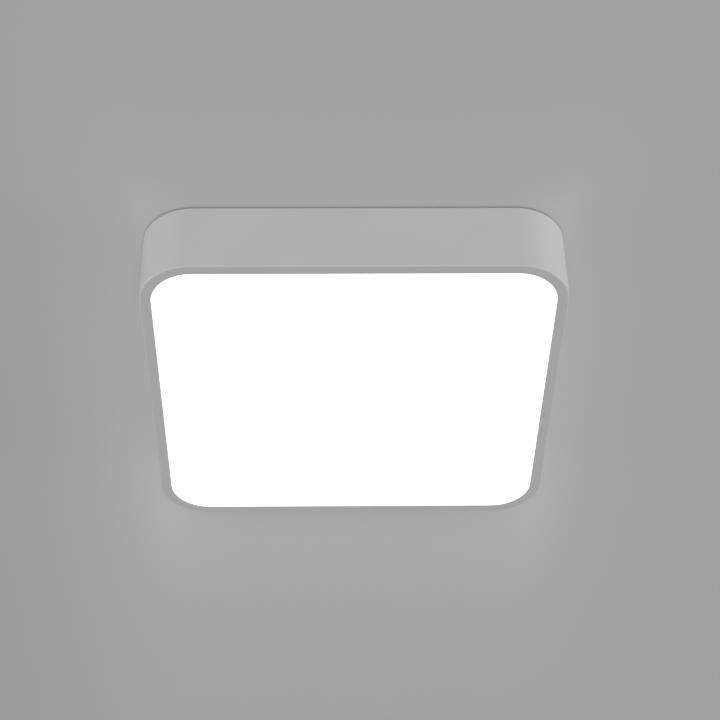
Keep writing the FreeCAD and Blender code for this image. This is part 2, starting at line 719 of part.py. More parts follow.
def pan_holes(body):
    """Fixing slots, the earth stud's seat and the catch rivets' holes."""
    x, y = corner_start(fixing_step_x, fixing_step_y)
    slot = new_sketch(body, "XY_Plane", x=x, y=y)
    rounded(slot, mm.fixing_length / 2, mm.fixing_width / 2, mm.fixing_width * 0.499)
    cut = pocket(body, slot, mm.pan_sheet * 2)
    grid(body, [cut], 2, fixing_step_x, 2, fixing_step_y)
    stud = new_sketch(body, "XY_Plane", x=mm.earth_x, y=mm.earth_y)
    circle(stud, mm.stud_head)
    pocket(body, stud, mm.pan_sheet / 2)
    shank = new_sketch(body, "XY_Plane", x=mm.earth_x, y=mm.earth_y)
    circle(shank, mm.stud_radius)
    pocket(body, shank, mm.pan_sheet * 2)
    for plane in ("XZ_Plane", "YZ_Plane"):
        rivet = new_sketch(body, plane, y=-mm.catch_rivet_drop)
        small_round(rivet, mm.catch_rivet_radius)
        pocket(body, rivet, mm.frame_width, both=True)


def spring_outline():
    """One face of the leaf as (distance from the middle, height) points, from its riveted end to its tip."""
    waist = rib_edge - mm.spring_fit
    shoulder = -(mm.pan_depth - mm.spring_bump)
    neck = -(mm.pan_depth + mm.catch_rib + mm.spring_fit)
    jog = flange_inside - waist
    return [
        (flange_inside, -mm.spring_top),
        (flange_inside, shoulder + jog),
        (waist, shoulder),
        (waist, neck),
        (waist + mm.spring_bump, neck - mm.spring_rise),
        (waist - mm.spring_fit, neck - mm.spring_rise - mm.spring_lead),
    ]


def catch_spring(number, side):
    """A leaf spring on the inside of one flange. Its bump reaches out under the frame's catch rib."""
    body = new_body(f"catch_spring_{number}")
    leaf = new_sketch(body, "YZ_Plane")
    outer = spring_outline()
    inner = [(y - mm.spring_sheet, z) for y, z in reversed(outer)]
    polygon(leaf, outer + inner)
    pad(body, leaf, mm.spring_width, both=True)
    hole = new_sketch(body, "XZ_Plane", y=-mm.catch_rivet_drop)
    small_round(hole, mm.catch_rivet_radius)
    pocket(body, hole, mm.frame_width, both=True)
    body.Placement = Placement(Vector(), Rotation(Vector(0, 0, 1), side))
    return body


def catch_rivets():
    """Rivets that hold the leaf springs, flush on the outside of the flange and with a head on the spring."""
    body = new_body("catch_rivets")
    grip = pan_half - mm.pan_sheet - mm.spring_sheet
    shank = new_sketch(body, "YZ_Plane", y=-mm.catch_rivet_drop, z=grip)
    small_round(shank, mm.catch_rivet_radius)
    core = pad(body, shank, mm.pan_sheet + mm.spring_sheet)
    head = new_sketch(body, "YZ_Plane", y=-mm.catch_rivet_drop, z=grip)
    small_round(head, mm.catch_rivet_radius * 2)
    crown = pad(body, head, mm.catch_rivet_radius * 0.6, down=True)
    around(body, [core, crown], 4)
    return body


def cable_grommet():
    """Rubber grommet in the dish, for the supply cable."""
    body = new_body("cable_grommet")
    brim = mm.cable_hole + mm.grommet_brim
    top = -mm.dish_depth + mm.grommet_lip
    foot = dish_foot - mm.grommet_lip
    section = new_sketch(body, "XZ_Plane")
    polygon(section, [(mm.grommet_bore, top), (brim, top), (brim, -mm.dish_depth),
                      (mm.cable_hole, -mm.dish_depth), (mm.cable_hole, dish_foot), (brim, dish_foot),
                      (brim, foot), (mm.grommet_bore, foot)])
    turn(body, section)
    return body


# ---------------------------------------------------------------- earth connection


def earth_stud():
    """Stud clinched in the pan, with its head flush in the ceiling face."""
    body = new_body("earth_stud")
    section = new_sketch(body, "XZ_Plane", x=mm.earth_x, z=-mm.earth_y)
    foot = pan_under - mm.stud_length
    polygon(section, [(0, 0), (mm.stud_head, 0), (mm.stud_head, -mm.pan_sheet / 2),
                      (mm.stud_radius, -mm.pan_sheet / 2), (mm.stud_radius, foot), (0, foot)])
    turn(body, section)
    return body


barrel_z = pan_under - mm.barrel_radius - mm.lug_sheet / 4
barrel_start = mm.earth_y + mm.nut_radius + mm.lug_neck


def earth_lug():
    """Crimped ring lug under the nut. Its barrel points back towards the terminal."""
    body = new_body("earth_lug")
    ring = new_sketch(body, "XY_Plane", x=mm.earth_x, y=mm.earth_y, z=pan_under)
    circle(ring, mm.lug_radius)
    pad(body, ring, mm.lug_sheet, down=True)
    neck = new_sketch(body, "XY_Plane", x=mm.earth_x, y=mm.earth_y, z=pan_under)
    reach = (mm.nut_radius + mm.lug_neck + mm.barrel_radius / 2) / 2
    rectangle(neck, mm.barrel_radius * 0.8, reach, 0, reach)
    pad(body, neck, mm.lug_sheet, down=True)
    barrel = new_sketch(body, "XZ_Plane", x=mm.earth_x, y=barrel_z, z=-barrel_start)
    small_round(barrel, mm.barrel_radius)
    pad(body, barrel, mm.barrel_length, down=True)
    bore = new_sketch(body, "XZ_Plane", x=mm.earth_x, y=barrel_z, z=-(barrel_start + mm.barrel_length))
    small_round(bore, mm.mains_wire + mm.thread_fit * 2)
    pocket(body, bore, mm.barrel_length / 2, up=True)
    hole = new_sketch(body, "XY_Plane", x=mm.earth_x, y=mm.earth_y)
    circle(hole, mm.stud_radius)
    pocket(body, hole, mm.stud_length)
    return body


def earth_nut():
    """Hexagon nut on the earth stud."""
    body = new_body("earth_nut")
    nut = body.newObject("PartDesign::AdditivePrism", "earth_nut_hexagon")
    nut.AttachmentSupport = [(origin_part(body, "XY_Plane"), "")]
    nut.MapMode = "FlatFace"
    nut.Polygon = 6
    place = (mm.earth_x, mm.earth_y, pan_under - mm.lug_sheet - mm.nut_height)
    nut.AttachmentOffset = Placement(Vector(*[size.value for size in place]), Rotation())
    for letter, size in zip("xyz", place):
        bind(nut, f"AttachmentOffset.Base.{letter}", size)
    bind(nut, "Circumradius", mm.nut_radius)
    bind(nut, "Height", mm.nut_height)
    body.Tip = nut
    doc.recompute()
    bore = new_sketch(body, "XY_Plane", x=mm.earth_x, y=mm.earth_y)
    circle(bore, mm.stud_radius)
    pocket(body, bore, mm.stud_length)
    return body


# ---------------------------------------------------------------- gear tray, pillars and LED strips


def gear_tray():
    """White tray between driver and LEDs, with a turned-up flange, a wiring window and tool holes."""
    body = new_body("gear_tray")
    plate = new_sketch(body, "XY_Plane", z=tray_under)
    rounded(plate, tray_half, tray_half, mm.tray_corner)
    pad(body, plate, mm.tray_flange)
    hollow = new_sketch(body, "XY_Plane", z=tray_under + mm.tray_flange)
    inner = tray_half - mm.tray_sheet
    rounded(hollow, inner, inner, mm.tray_corner - mm.tray_sheet)
    pocket(body, hollow, mm.tray_flange - mm.tray_sheet)
    window_half = (mm.wiring_room + mm.terminal_length + mm.window_margin) / 2
    window = new_sketch(body, "XY_Plane", x=tail_x + mm.window_margin - window_half, z=tray_top)
    rounded(window, window_half, mm.window_width / 2, mm.window_corner)
    pocket(body, window, mm.tray_sheet)
    tray_holes(body)
    return body


def tray_holes(body):
    """Tool holes, pillar screw holes, push rivet holes and the lead bush's hole."""
    x, y = corner_start(fixing_step_x, fixing_step_y)
    tool = new_sketch(body, "XY_Plane", x=x, y=y, z=tray_top)
    small_round(tool, mm.access_radius, sides=12)
    cut = pocket(body, tool, mm.tray_sheet)
    grid(body, [cut], 2, fixing_step_x, 2, fixing_step_y)
    x, y = corner_start(pillar_step_x, pillar_step_y)
    screw = new_sketch(body, "XY_Plane", x=x, y=y, z=tray_top)
    small_round(screw, mm.screw_radius + mm.lid_fit)
    cut = pocket(body, screw, mm.tray_sheet)
    grid(body, [cut], 2, pillar_step_x, 2, pillar_step_y)
    rivet = new_sketch(body, "XY_Plane", x=first_rivet, y=first_strip, z=tray_top)
    small_round(rivet, mm.push_rivet_radius)
    cut = pocket(body, rivet, mm.tray_sheet)
    grid(body, [cut], RIVETS_PER_STRIP, rivet_step, STRIPS, strip_pitch)
    bush = new_sketch(body, "XY_Plane", x=bush_x, y=bush_y, z=tray_top)
    small_round(bush, mm.bush_hole)
    pocket(body, bush, mm.tray_sheet)


def tray_pillars():
    """Hexagonal pillars, welded below the pan, with a thread for the tray's screws."""
    body = new_body("tray_pillars")
    x, y = corner_start(pillar_step_x, pillar_step_y)
    post = new_sketch(body, "XY_Plane", x=x, y=y, z=tray_top)
    small_round(post, mm.pillar_radius, sides=6)
    pillar = pad(body, post, mm.tray_drop - mm.pan_sheet)
    thread = new_sketch(body, "XY_Plane", x=x, y=y, z=tray_top)
    small_round(thread, mm.screw_radius + mm.thread_fit)
    bore = pocket(body, thread, mm.pillar_thread, up=True)
    grid(body, [pillar, bore], 2, pillar_step_x, 2, pillar_step_y)
    return body


def screw(body, x, y, seat, grip):
    """A screw whose head hangs below seat and whose shank reaches grip above it. Returns its features."""
    shank = new_sketch(body, "XY_Plane", x=x, y=y, z=seat)
    small_round(shank, mm.screw_radius)
    stem = pad(body, shank, grip)
    head = new_sketch(body, "XY_Plane", x=x, y=y, z=seat)
    small_round(head, mm.screw_head)
    return [stem, pad(body, head, mm.screw_head_height, down=True)]


def tray_screws():
    """Screws that hold the tray on its pillars."""
    body = new_body("tray_screws")
    x, y = corner_start(pillar_step_x, pillar_step_y)
    features = screw(body, x, y, tray_under, mm.tray_sheet + mm.pillar_thread * 0.7)
    grid(body, features, 2, pillar_step_x, 2, pillar_step_y)
    return body


def strip_y(number):
    """The middle of strip 1, 2 and so on, from the near side."""
    return first_strip + strip_pitch * (number - 1)


def led_strip(number):
    """Aluminium LED board, riveted below the tray."""
    body = new_body(f"led_strip_{number}")
    board = new_sketch(body, "XY_Plane", y=strip_y(number), z=tray_under)
    rectangle(board, strip_half, mm.strip_width / 2)
    pad(body, board, mm.strip_sheet, down=True)
    hole = new_sketch(body, "XY_Plane", x=first_rivet, y=strip_y(number), z=tray_under)
    small_round(hole, mm.push_rivet_radius)
    cut = pocket(body, hole, mm.strip_sheet)
    grid(body, [cut], RIVETS_PER_STRIP, rivet_step)
    return body


def led_chips(number):
    """The LED packages of one strip."""
    body = new_body(f"led_chips_{number}")
    chip = new_sketch(body, "XY_Plane", x=first_led, y=strip_y(number), z=strip_under)
    rectangle(chip, mm.chip_width / 2, mm.chip_width / 2)
    package = pad(body, chip, mm.chip_height, down=True)
    grid(body, [package], LEDS_PER_STRIP, led_pitch)
    return body


def led_lenses(number):
    """The wide-angle lenses of one strip: a skirt, a sloping crown and a pocket over the LED."""
    body = new_body(f"led_lenses_{number}")
    y = strip_y(number)
    base = new_sketch(body, "XY_Plane", x=first_led, y=y, z=strip_under)
    small_round(base, mm.lens_radius, sides=12)
    skirt = pad(body, base, mm.lens_skirt, down=True)
    brim = new_sketch(body, "XY_Plane", x=first_led, y=y, z=strip_under - mm.lens_skirt)
    small_round(brim, mm.lens_radius, sides=12)
    crown = pad(body, brim, mm.lens_height - mm.lens_skirt, down=True, taper=-40)
    hollow = new_sketch(body, "XY_Plane", x=first_led, y=y, z=strip_under)
    half = mm.chip_width / 2 + mm.lens_pocket
    rectangle(hollow, half, half)
    room = pocket(body, hollow, mm.chip_height + mm.lens_pocket)
    grid(body, [skirt, crown, room], LEDS_PER_STRIP, led_pitch)
    return body


def strip_rivets():
    """Nylon push rivets: a head below each strip and a spread end above the tray."""
    body = new_body("strip_rivets")
    stem = new_sketch(body, "XY_Plane", x=first_rivet, y=first_strip, z=strip_under)
    small_round(stem, mm.push_rivet_radius)
    features = [pad(body, stem, mm.strip_sheet + mm.tray_sheet)]
    spread = new_sketch(body, "XY_Plane", x=first_rivet, y=first_strip, z=tray_top)
    small_round(spread, mm.push_rivet_radius * 1.4)
    features.append(pad(body, spread, mm.push_rivet_rise))
    head = new_sketch(body, "XY_Plane", x=first_rivet, y=first_strip, z=strip_under)
    small_round(head, mm.push_rivet_head)
    features.append(pad(body, head, mm.push_rivet_rise, down=True))
    grid(body, features, RIVETS_PER_STRIP, rivet_step, STRIPS, strip_pitch)
    return body


socket_x = strip_left + mm.socket_inset + mm.socket_length / 2
socket_mouth = strip_left + mm.socket_inset
lead_z = strip_under - mm.socket_height / 2


def strip_sockets():
    """Four-way sockets at the left ends of the strips."""
    body = new_body("strip_sockets")
    for number in range(1, STRIPS + 1):
        shell = new_sketch(body, "XY_Plane", x=socket_x, y=strip_y(number), z=strip_under)
        rectangle(shell, mm.socket_length / 2, mm.socket_width / 2)
        pad(body, shell, mm.socket_height, down=True)
    return body


def strip_links():
    """Flat twin leads that join each strip's socket to the next one."""
    body = new_body("strip_links")
    aside = mm.socket_width / 4
    near, far = strip_y(1) + aside, strip_y(2) - aside
    out = socket_mouth - mm.link_reach
    path = new_sketch(body, "XY_Plane", z=lead_z)
    chain(path, [(socket_mouth, near), (out, near), (out, far), (socket_mouth, far)], mm.link_bend, closed=False)
    section = new_sketch(body, "YZ_Plane", x=near, y=lead_z, z=socket_mouth)
    rectangle(section, mm.link_width / 2, mm.link_sheet / 2)
    sweep = body.newObject("PartDesign::AdditivePipe", "strip_links_sweep")
    sweep.Profile = section
    sweep.Spine = path
    finish_feature(body, sweep, 0.0, True)
    grid(body, [sweep], 1, 0, STRIPS - 1, strip_pitch)
    return body


def lead_bush():
    """Rubber bush where the LED lead passes through the tray."""
    body = new_body("lead_bush")
    lips = new_sketch(body, "XY_Plane", x=bush_x, y=bush_y, z=tray_under - mm.bush_lip)
    small_round(lips, mm.bush_hole + mm.bush_brim)
    pad(body, lips, mm.bush_lip)
    neck = new_sketch(body, "XY_Plane", x=bush_x, y=bush_y, z=tray_under)
    small_round(neck, mm.bush_hole)
    pad(body, neck, mm.tray_sheet)
    collar = new_sketch(body, "XY_Plane", x=bush_x, y=bush_y, z=tray_top)
    small_round(collar, mm.bush_hole + mm.bush_brim)
    pad(body, collar, mm.bush_lip)
    bore = new_sketch(body, "XY_Plane", x=bush_x, y=bush_y, z=tray_top + mm.bush_lip)
    small_round(bore, mm.bush_bore)
    pocket(body, bore, mm.tray_sheet + mm.bush_lip * 2)
    return body


# ---------------------------------------------------------------- driver


def driver_case():
    """The half of the driver's case that stands on the pan, with fixing ears and posts for the board."""
    body = new_body("driver_case")
    shell = new_sketch(body, "XY_Plane", y=mm.driver_y, z=case_foot)
    rounded(shell, mm.driver_length / 2, mm.driver_width / 2, mm.driver_corner)
    pad(body, shell, mm.case_height, down=True)
    ears = new_sketch(body, "XY_Plane", y=mm.driver_y, z=case_foot)
    rounded(ears, mm.driver_length / 2 + mm.ear_length, mm.ear_width / 2, mm.driver_corner)
    pad(body, ears, mm.ear_sheet, down=True)
    hollow = new_sketch(body, "XY_Plane", y=mm.driver_y, z=case_rim)
    rounded(hollow, mm.driver_length / 2 - mm.driver_wall, mm.driver_width / 2 - mm.driver_wall,
            mm.driver_corner - mm.driver_wall)
    pocket(body, hollow, mm.case_height - mm.driver_wall, up=True)
    holes = new_sketch(body, "XY_Plane", y=mm.driver_y, z=case_foot)
    small_round(holes, mm.ear_hole, ear_x)
    small_round(holes, mm.ear_hole, -ear_x)
    pocket(body, holes, mm.ear_sheet)
    posts = new_sketch(body, "XY_Plane", y=mm.driver_y, z=case_foot - mm.driver_wall)
    for side_x in (-1, 1):
        for side_y in (-1, 1):
            rectangle(posts, mm.post_width / 2, mm.post_width / 2,
                      (mm.driver_length / 2 - mm.driver_wall - mm.post_width) * side_x,
                      (mm.driver_width / 2 - mm.driver_wall - mm.post_width) * side_y)
    pad(body, posts, mm.board_post, down=True)
    notch = new_sketch(body, "YZ_Plane", x=mm.driver_y, y=plug_z)
    rectangle(notch, mm.plug_width / 2, mm.plug_height / 2)
    pocket(body, notch, mm.driver_length, both=True)
    return body


def driver_lid():
    """Lid with an inner lip that locates it in the case."""
    body = new_body("driver_lid")
    shell = new_sketch(body, "XY_Plane", y=mm.driver_y, z=case_rim)
    rounded(shell, mm.driver_length / 2, mm.driver_width / 2, mm.driver_corner)
    pad(body, shell, mm.lid_height, down=True)
    lip = new_sketch(body, "XY_Plane", y=mm.driver_y, z=case_rim)
    inset = mm.driver_wall + mm.lid_fit
    rounded(lip, mm.driver_length / 2 - inset, mm.driver_width / 2 - inset, mm.driver_corner - inset)
    pad(body, lip, mm.lid_lip)
    hollow = new_sketch(body, "XY_Plane", y=mm.driver_y, z=case_rim + mm.lid_lip)
    deeper = inset + mm.driver_wall * 0.75
    rectangle(hollow, mm.driver_length / 2 - deeper, mm.driver_width / 2 - deeper)
    pocket(body, hollow, mm.lid_lip + mm.lid_height - mm.driver_wall)
    gate = new_sketch(body, "YZ_Plane", x=mm.driver_y, y=case_rim + mm.lid_lip / 2)
    rectangle(gate, mm.plug_width / 2 + mm.lid_fit, mm.lid_lip / 2)
    pocket(body, gate, mm.driver_length, both=True)
    return body


board_z = case_foot - mm.driver_wall - mm.board_post
parts_z = board_z - mm.board_sheet


def driver_board():
    """The driver's circuit board on its posts."""
    body = new_body("driver_board")
    board = new_sketch(body, "XY_Plane", y=mm.driver_y, z=board_z)
    inset = mm.driver_wall + mm.board_fit
    rectangle(board, mm.driver_length / 2 - inset, mm.driver_width / 2 - inset)
    pad(body, board, mm.board_sheet, down=True)
    return body


def driver_transformer():
    """Ferrite core with its wound bobbin standing out at both sides."""
    body = new_body("driver_transformer")
    core = new_sketch(body, "XY_Plane", y=mm.driver_y, z=parts_z)
    rectangle(core, mm.core_length / 2, mm.core_width / 2)
    pad(body, core, mm.core_height, down=True)
    winding = new_sketch(body, "YZ_Plane", x=mm.driver_y, y=parts_z - mm.core_height / 2)
    rounded(winding, mm.core_width / 2 + mm.driver_wall, mm.core_height / 2 - mm.driver_wall, mm.driver_wall)
    pad(body, winding, mm.core_length * 0.6, both=True)
    return body


def driver_capacitors():
    """Input and output electrolytic capacitors."""
    body = new_body("driver_capacitors")
    cans = new_sketch(body, "XY_Plane", y=mm.driver_y, z=parts_z)
    circle(cans, mm.bulk_radius, mm.driver_length * 0.28, 0)
    circle(cans, mm.smooth_radius, -mm.driver_length * 0.28, 0)
    pad(body, cans, mm.bulk_height, down=True)
    return body


def driver_plug(label, side):
    """Plug in the end wall of the case: side 1 is the supply's end, +X, and side -1 the LEDs' end."""
    body = new_body(label)
    middle = (mm.driver_length / 2 + mm.plug_reach - mm.plug_length / 2) * side
    block = new_sketch(body, "XY_Plane", x=middle, y=mm.driver_y, z=case_rim)
    rectangle(block, mm.plug_length / 2, mm.plug_width / 2)
    pad(body, block, mm.plug_height)
    return body


def case_screws(label, places):
    """Screws through fixing ears into the pan's dimples. Their tips stay below the ceiling face."""
    body = new_body(label)
    for x, y in places:
        seat = dimple_foot - mm.ear_sheet
        screw(body, x, y, seat, mm.ear_sheet + mm.dimple_depth + mm.pan_sheet * 0.4)
    return body


def driver_screws():
    return case_screws("driver_screws", [(-ear_x, mm.driver_y), (ear_x, mm.driver_y)])


def terminal_screws():
    return case_screws("terminal_screws", [(terminal_x, -tab_y), (terminal_x, tab_y)])


# ---------------------------------------------------------------- lever terminal


def pole_y(number):
    """The middle of pole 1, 2 and 3: earth, neutral and live."""
    return mm.pole_pitch * (number - (POLES + 1) / 2)


def terminal_pole(label, number):
    """One pole's housing: its entry faces -X, its lever the room, and its inner wire leaves at +X."""
    y = pole_y(number)
    body = new_body(label)
    block = new_sketch(body, "XY_Plane", x=terminal_x, y=y, z=dimple_foot)
    rectangle(block, terminal_half, mm.pole_pitch / 2)
    pad(body, block, mm.terminal_height, down=True)
    slot_x = tail_x - mm.lever_end_gap - mm.lever_slot_length / 2
    slot = new_sketch(body, "XY_Plane", x=slot_x, y=y, z=terminal_face)
    rectangle(slot, mm.lever_slot_length / 2, mm.lever_slot_width / 2)
    pocket(body, slot, mm.lever_slot_depth, up=True)
    pivot = new_sketch(body, "XZ_Plane", x=pivot_x, y=pivot_z, z=-y)
    circle(pivot, mm.pivot_radius + mm.pivot_fit)
    pocket(body, pivot, mm.pole_pitch + mm.pivot_fit, both=True)
    entry = new_sketch(body, "YZ_Plane", x=y, y=entry_z, z=mouth_x)
    circle(entry, mm.entry_radius)
    pocket(body, entry, mm.entry_depth, up=True)
    tail = new_sketch(body, "YZ_Plane", x=y, y=entry_z, z=tail_x)
    small_round(tail, mm.tail_radius)
    pocket(body, tail, mm.tail_depth)
    return body


def end_pole(label, number, way):
    """A pole at the terminal's end, with a tab for the fixing screw on its outer side."""
    body = terminal_pole(label, number)
    tab = new_sketch(body, "XY_Plane", x=terminal_x, y=tab_y * way, z=dimple_foot)
    rectangle(tab, mm.tab_length / 2, mm.tab_reach / 2)
    pad(body, tab, mm.ear_sheet, down=True)
    hole = new_sketch(body, "XY_Plane", x=terminal_x, y=tab_y * way, z=dimple_foot)
    small_round(hole, mm.ear_hole)
    pocket(body, hole, mm.ear_sheet)
    return body


def lever(label, y):
    """Clamping lever: a flat tongue with a round heel on a pivot pin, shut at rest, and a lip to lift it by."""
    body = new_body(label)
    tongue = new_sketch(body, "XZ_Plane", x=pivot_x, y=pivot_z, z=-y)
    half = mm.lever_thickness / 2
    tip = -mm.lever_length
    lip = mm.lever_thickness * 0.5
    polygon(tongue, [(0, -half), (tip + lip, -half), (tip, 0), (tip, half), (tip + lip * 2, half * 0.3), (0, half)])
    pad(body, tongue, mm.lever_width, both=True)
    heel = new_sketch(body, "XZ_Plane", x=pivot_x, y=pivot_z, z=-y)
    circle(heel, mm.lever_heel)
    pad(body, heel, mm.lever_width, both=True)
    pin = new_sketch(body, "XZ_Plane", x=pivot_x, y=pivot_z, z=-y)
    circle(pin, mm.pivot_radius)
    pad(body, pin, mm.pivot_length, both=True)
    return body


# ---------------------------------------------------------------- wires


def live_wire():
    """Terminal's live pole to the driver, on the inner track."""
    plug_x = mm.driver_length / 2 + mm.plug_reach
    y_in = mm.driver_y - mm.plug_width / 4
    track = tail_x + mm.wire_bend * 3
    return solid_piece("live_wire", tube("live_wire", [
        (tail_x - mm.tail_depth, pole_y(3), entry_z), (track, pole_y(3), entry_z),
        (track + mm.wire_bend, mm.driver_y / 2, plug_z), (track, y_in, plug_z), (plug_x, y_in, plug_z),
    ], mm.mains_wire, mm.wire_bend * 2))


def neutral_wire():
    """Terminal's neutral pole to the driver, outside the live wire."""
    plug_x = mm.driver_length / 2 + mm.plug_reach
    y_in = mm.driver_y + mm.plug_width / 4
    track = tail_x + mm.wire_bend * 4
    return solid_piece("neutral_wire", tube("neutral_wire", [
        (tail_x - mm.tail_depth, pole_y(2), entry_z), (track, pole_y(2), entry_z),
        (track + mm.wire_bend, mm.driver_y / 2, plug_z), (track, y_in, plug_z), (plug_x, y_in, plug_z),
    ], mm.mains_wire, mm.wire_bend * 2))


def earth_wire():
    """Terminal's earth pole to the ring lug."""
    barrel_y = barrel_start + mm.barrel_length / 2
    return solid_piece("earth_wire", tube("earth_wire", [
        (tail_x - mm.tail_depth, pole_y(1), entry_z), (mm.earth_x, pole_y(1), entry_z),
        (mm.earth_x, barrel_y + mm.barrel_length, barrel_z), (mm.earth_x, barrel_y, barrel_z),
    ], mm.mains_wire, mm.wire_bend))


def led_lead():
    """Two-core lead: from the driver over the tray, down through the bush and back to the last strip's socket."""
    plug_x = -(mm.driver_length / 2 + mm.plug_reach)
    aside = strip_y(STRIPS) + mm.socket_width / 4
    stretch = mm.wire_bend * 2.8
    return solid_piece("led_lead", tube("led_lead", [
        (plug_x, mm.driver_y, plug_z), (plug_x - stretch, mm.driver_y, plug_z),
        (plug_x - stretch * 2, mm.driver_y + mm.wire_bend * 6, plug_z), (bush_x, bush_y, plug_z), (bush_x, bush_y, lead_z),
        (socket_mouth - stretch / 2, bush_y - mm.wire_bend * 0.8, lead_z),
        (socket_mouth - stretch / 2, aside, lead_z), (socket_mouth, aside, lead_z),
    ], mm.lead_wire, mm.wire_bend))


# ---------------------------------------------------------------- assembly


def build():
    """Makes every sub-part and returns them in the order of a bench strip-down."""
    pieces = [frame_ring(), diffuser(), base_pan(), cable_grommet()]
    pieces += [catch_spring(number, side) for number, side in ((1, 0), (2, 90), (3, 180), (4, 270))]
    pieces += [catch_rivets(), earth_stud(), earth_lug(), earth_nut(), gear_tray(), tray_pillars(), tray_screws()]
    for number in range(1, STRIPS + 1):
        pieces += [led_strip(number), led_chips(number), led_lenses(number)]
    pieces += [strip_rivets(), strip_sockets(), strip_links(), lead_bush(), driver_case(), driver_lid()]
    pieces += [driver_board(), driver_transformer(), driver_capacitors(), driver_screws()]
    pieces += [driver_plug("driver_input_plug", 1), driver_plug("driver_output_plug", -1)]
    pieces += [end_pole("pole_earth", 1, -1), terminal_pole("pole_neutral", 2), end_pole("pole_live", POLES, 1)]
    pieces += [terminal_screws()]
    for number, name in enumerate(("lever_earth", "lever_neutral", "lever_live"), start=1):
        pieces.append(lever(name, pole_y(number)))
    pieces += [live_wire(), neutral_wire(), earth_wire(), led_lead()]
    return pieces


def write_parts(pieces):
    """Checks the document and every sub-part, then writes one STEP file for each."""
    doc.recompute()
    for thing in doc.Objects:
        if "Invalid" in thing.State or "Error" in thing.State:
            raise ValueError(f"{thing.Label} is {thing.State}")
    for piece in pieces:
        if piece.Shape.isNull() or not piece.Shape.isValid() or not piece.Shape.Solids:
            raise ValueError(f"{piece.Label} has no valid solid")
    os.makedirs("parts", exist_ok=True)
    for piece in pieces:
        piece.Shape.exportStep(f"parts/{piece.Label}.step")
    print(f"{len(pieces)} sub-parts, {sum(len(piece.Shape.Solids) for piece in pieces)} solids")


write_parts(build())
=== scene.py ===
import json
import math
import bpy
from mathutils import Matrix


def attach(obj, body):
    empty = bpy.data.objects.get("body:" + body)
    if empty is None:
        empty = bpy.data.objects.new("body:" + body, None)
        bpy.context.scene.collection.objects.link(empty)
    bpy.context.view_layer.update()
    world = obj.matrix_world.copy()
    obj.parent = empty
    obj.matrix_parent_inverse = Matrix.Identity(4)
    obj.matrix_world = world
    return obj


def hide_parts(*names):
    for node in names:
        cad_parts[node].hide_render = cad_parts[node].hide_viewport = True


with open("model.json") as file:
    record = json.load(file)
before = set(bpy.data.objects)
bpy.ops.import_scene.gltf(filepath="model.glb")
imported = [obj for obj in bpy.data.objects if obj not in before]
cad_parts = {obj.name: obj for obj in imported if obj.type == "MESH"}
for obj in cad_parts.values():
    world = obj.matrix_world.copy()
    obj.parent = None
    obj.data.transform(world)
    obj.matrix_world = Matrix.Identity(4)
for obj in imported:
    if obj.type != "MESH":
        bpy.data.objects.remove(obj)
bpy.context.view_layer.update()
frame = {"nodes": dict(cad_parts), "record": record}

from types import SimpleNamespace

import bmesh
import bpy
from mathutils import Matrix, Vector

# A square ceiling light, seen from below and in front. Lengths are in metres, or in millimetres times MM.
MM = 0.001

scene = bpy.context.scene
scene.view_settings.view_transform = "Standard"


# ---------------------------------------------------------------- camera, fitted to the photograph's outline

SENSOR = 36.0
PICTURE_PIXELS = 720
FOCAL_PIXELS = 1870.0
EYE = (-23.6, -1107.4, -896.3)
PITCH, YAW, ROLL = (math.radians(angle) for angle in (38.42, -1.53, -1.15))


def place_camera():
    optics = bpy.data.cameras.new("camera")
    optics.sensor_width = SENSOR
    optics.lens = FOCAL_PIXELS * SENSOR / PICTURE_PIXELS
    optics.clip_start, optics.clip_end = 0.01, 50
    camera = bpy.data.objects.new("camera", optics)
    scene.collection.objects.link(camera)
    right = (1, 0, 0)
    up = (0, -math.sin(PITCH), math.cos(PITCH))
    back = (0, -math.cos(PITCH), -math.sin(PITCH))
    tilt = Matrix((right, up, back)).transposed()
    turn = Matrix.Rotation(YAW, 3, "Z") @ tilt @ Matrix.Rotation(ROLL, 3, "Z")
    camera.matrix_world = Matrix.Translation(Vector(EYE) * MM) @ turn.to_4x4()
    scene.camera = camera


# ---------------------------------------------------------------- node trees


def node(tree, kind, inputs=(), **settings):
    """A node whose inputs are given by name or place, each as a value or as another node's output."""
    made = tree.nodes.new(kind)
    for key, value in settings.items():
        setattr(made, key, value)
    for key, value in dict(inputs).items():
        if isinstance(value, bpy.types.NodeSocket):
            tree.links.new(value, made.inputs[key])
        else:
            made.inputs[key].default_value = value
    return made


def maths(tree, operation, *values, clamp=False):
    return node(tree, "ShaderNodeMath", enumerate(values), operation=operation, use_clamp=clamp).outputs[0]


def plus(tree, first, second):
    return maths(tree, "ADD", first, second)


def less(tree, first, second, clamp=False):
    return maths(tree, "SUBTRACT", first, second, clamp=clamp)


def times(tree, first, *others):
    for other in others:
        first = maths(tree, "MULTIPLY", first, other)
    return first


def fade(tree, value, low, high, start=0.0, end=1.0):
    """value from low..high turned smoothly into start..end."""
    limits = (("Value", value), ("From Min", low), ("From Max", high), ("To Min", start), ("To Max", end))
    return node(tree, "ShaderNodeMapRange", limits, interpolation_type="SMOOTHSTEP").outputs["Result"]


def swung(tree, value, depth):
    """value about a half turned into a tone about 1, which swings by depth."""
    return plus(tree, times(tree, less(tree, value, 0.5), depth), 1.0)


def blend_colour(tree, amount, first, second, blend="MIX"):
    colours = ((0, amount), (6, first), (7, second))
    return node(tree, "ShaderNodeMix", colours, data_type="RGBA", blend_type=blend).outputs[2]


def object_place(tree):
    return node(tree, "ShaderNodeTexCoord").outputs["Object"]


def object_sides(tree):
    """x, y and z of a place on the object."""
    return node(tree, "ShaderNodeSeparateXYZ", (("Vector", object_place(tree)),)).outputs


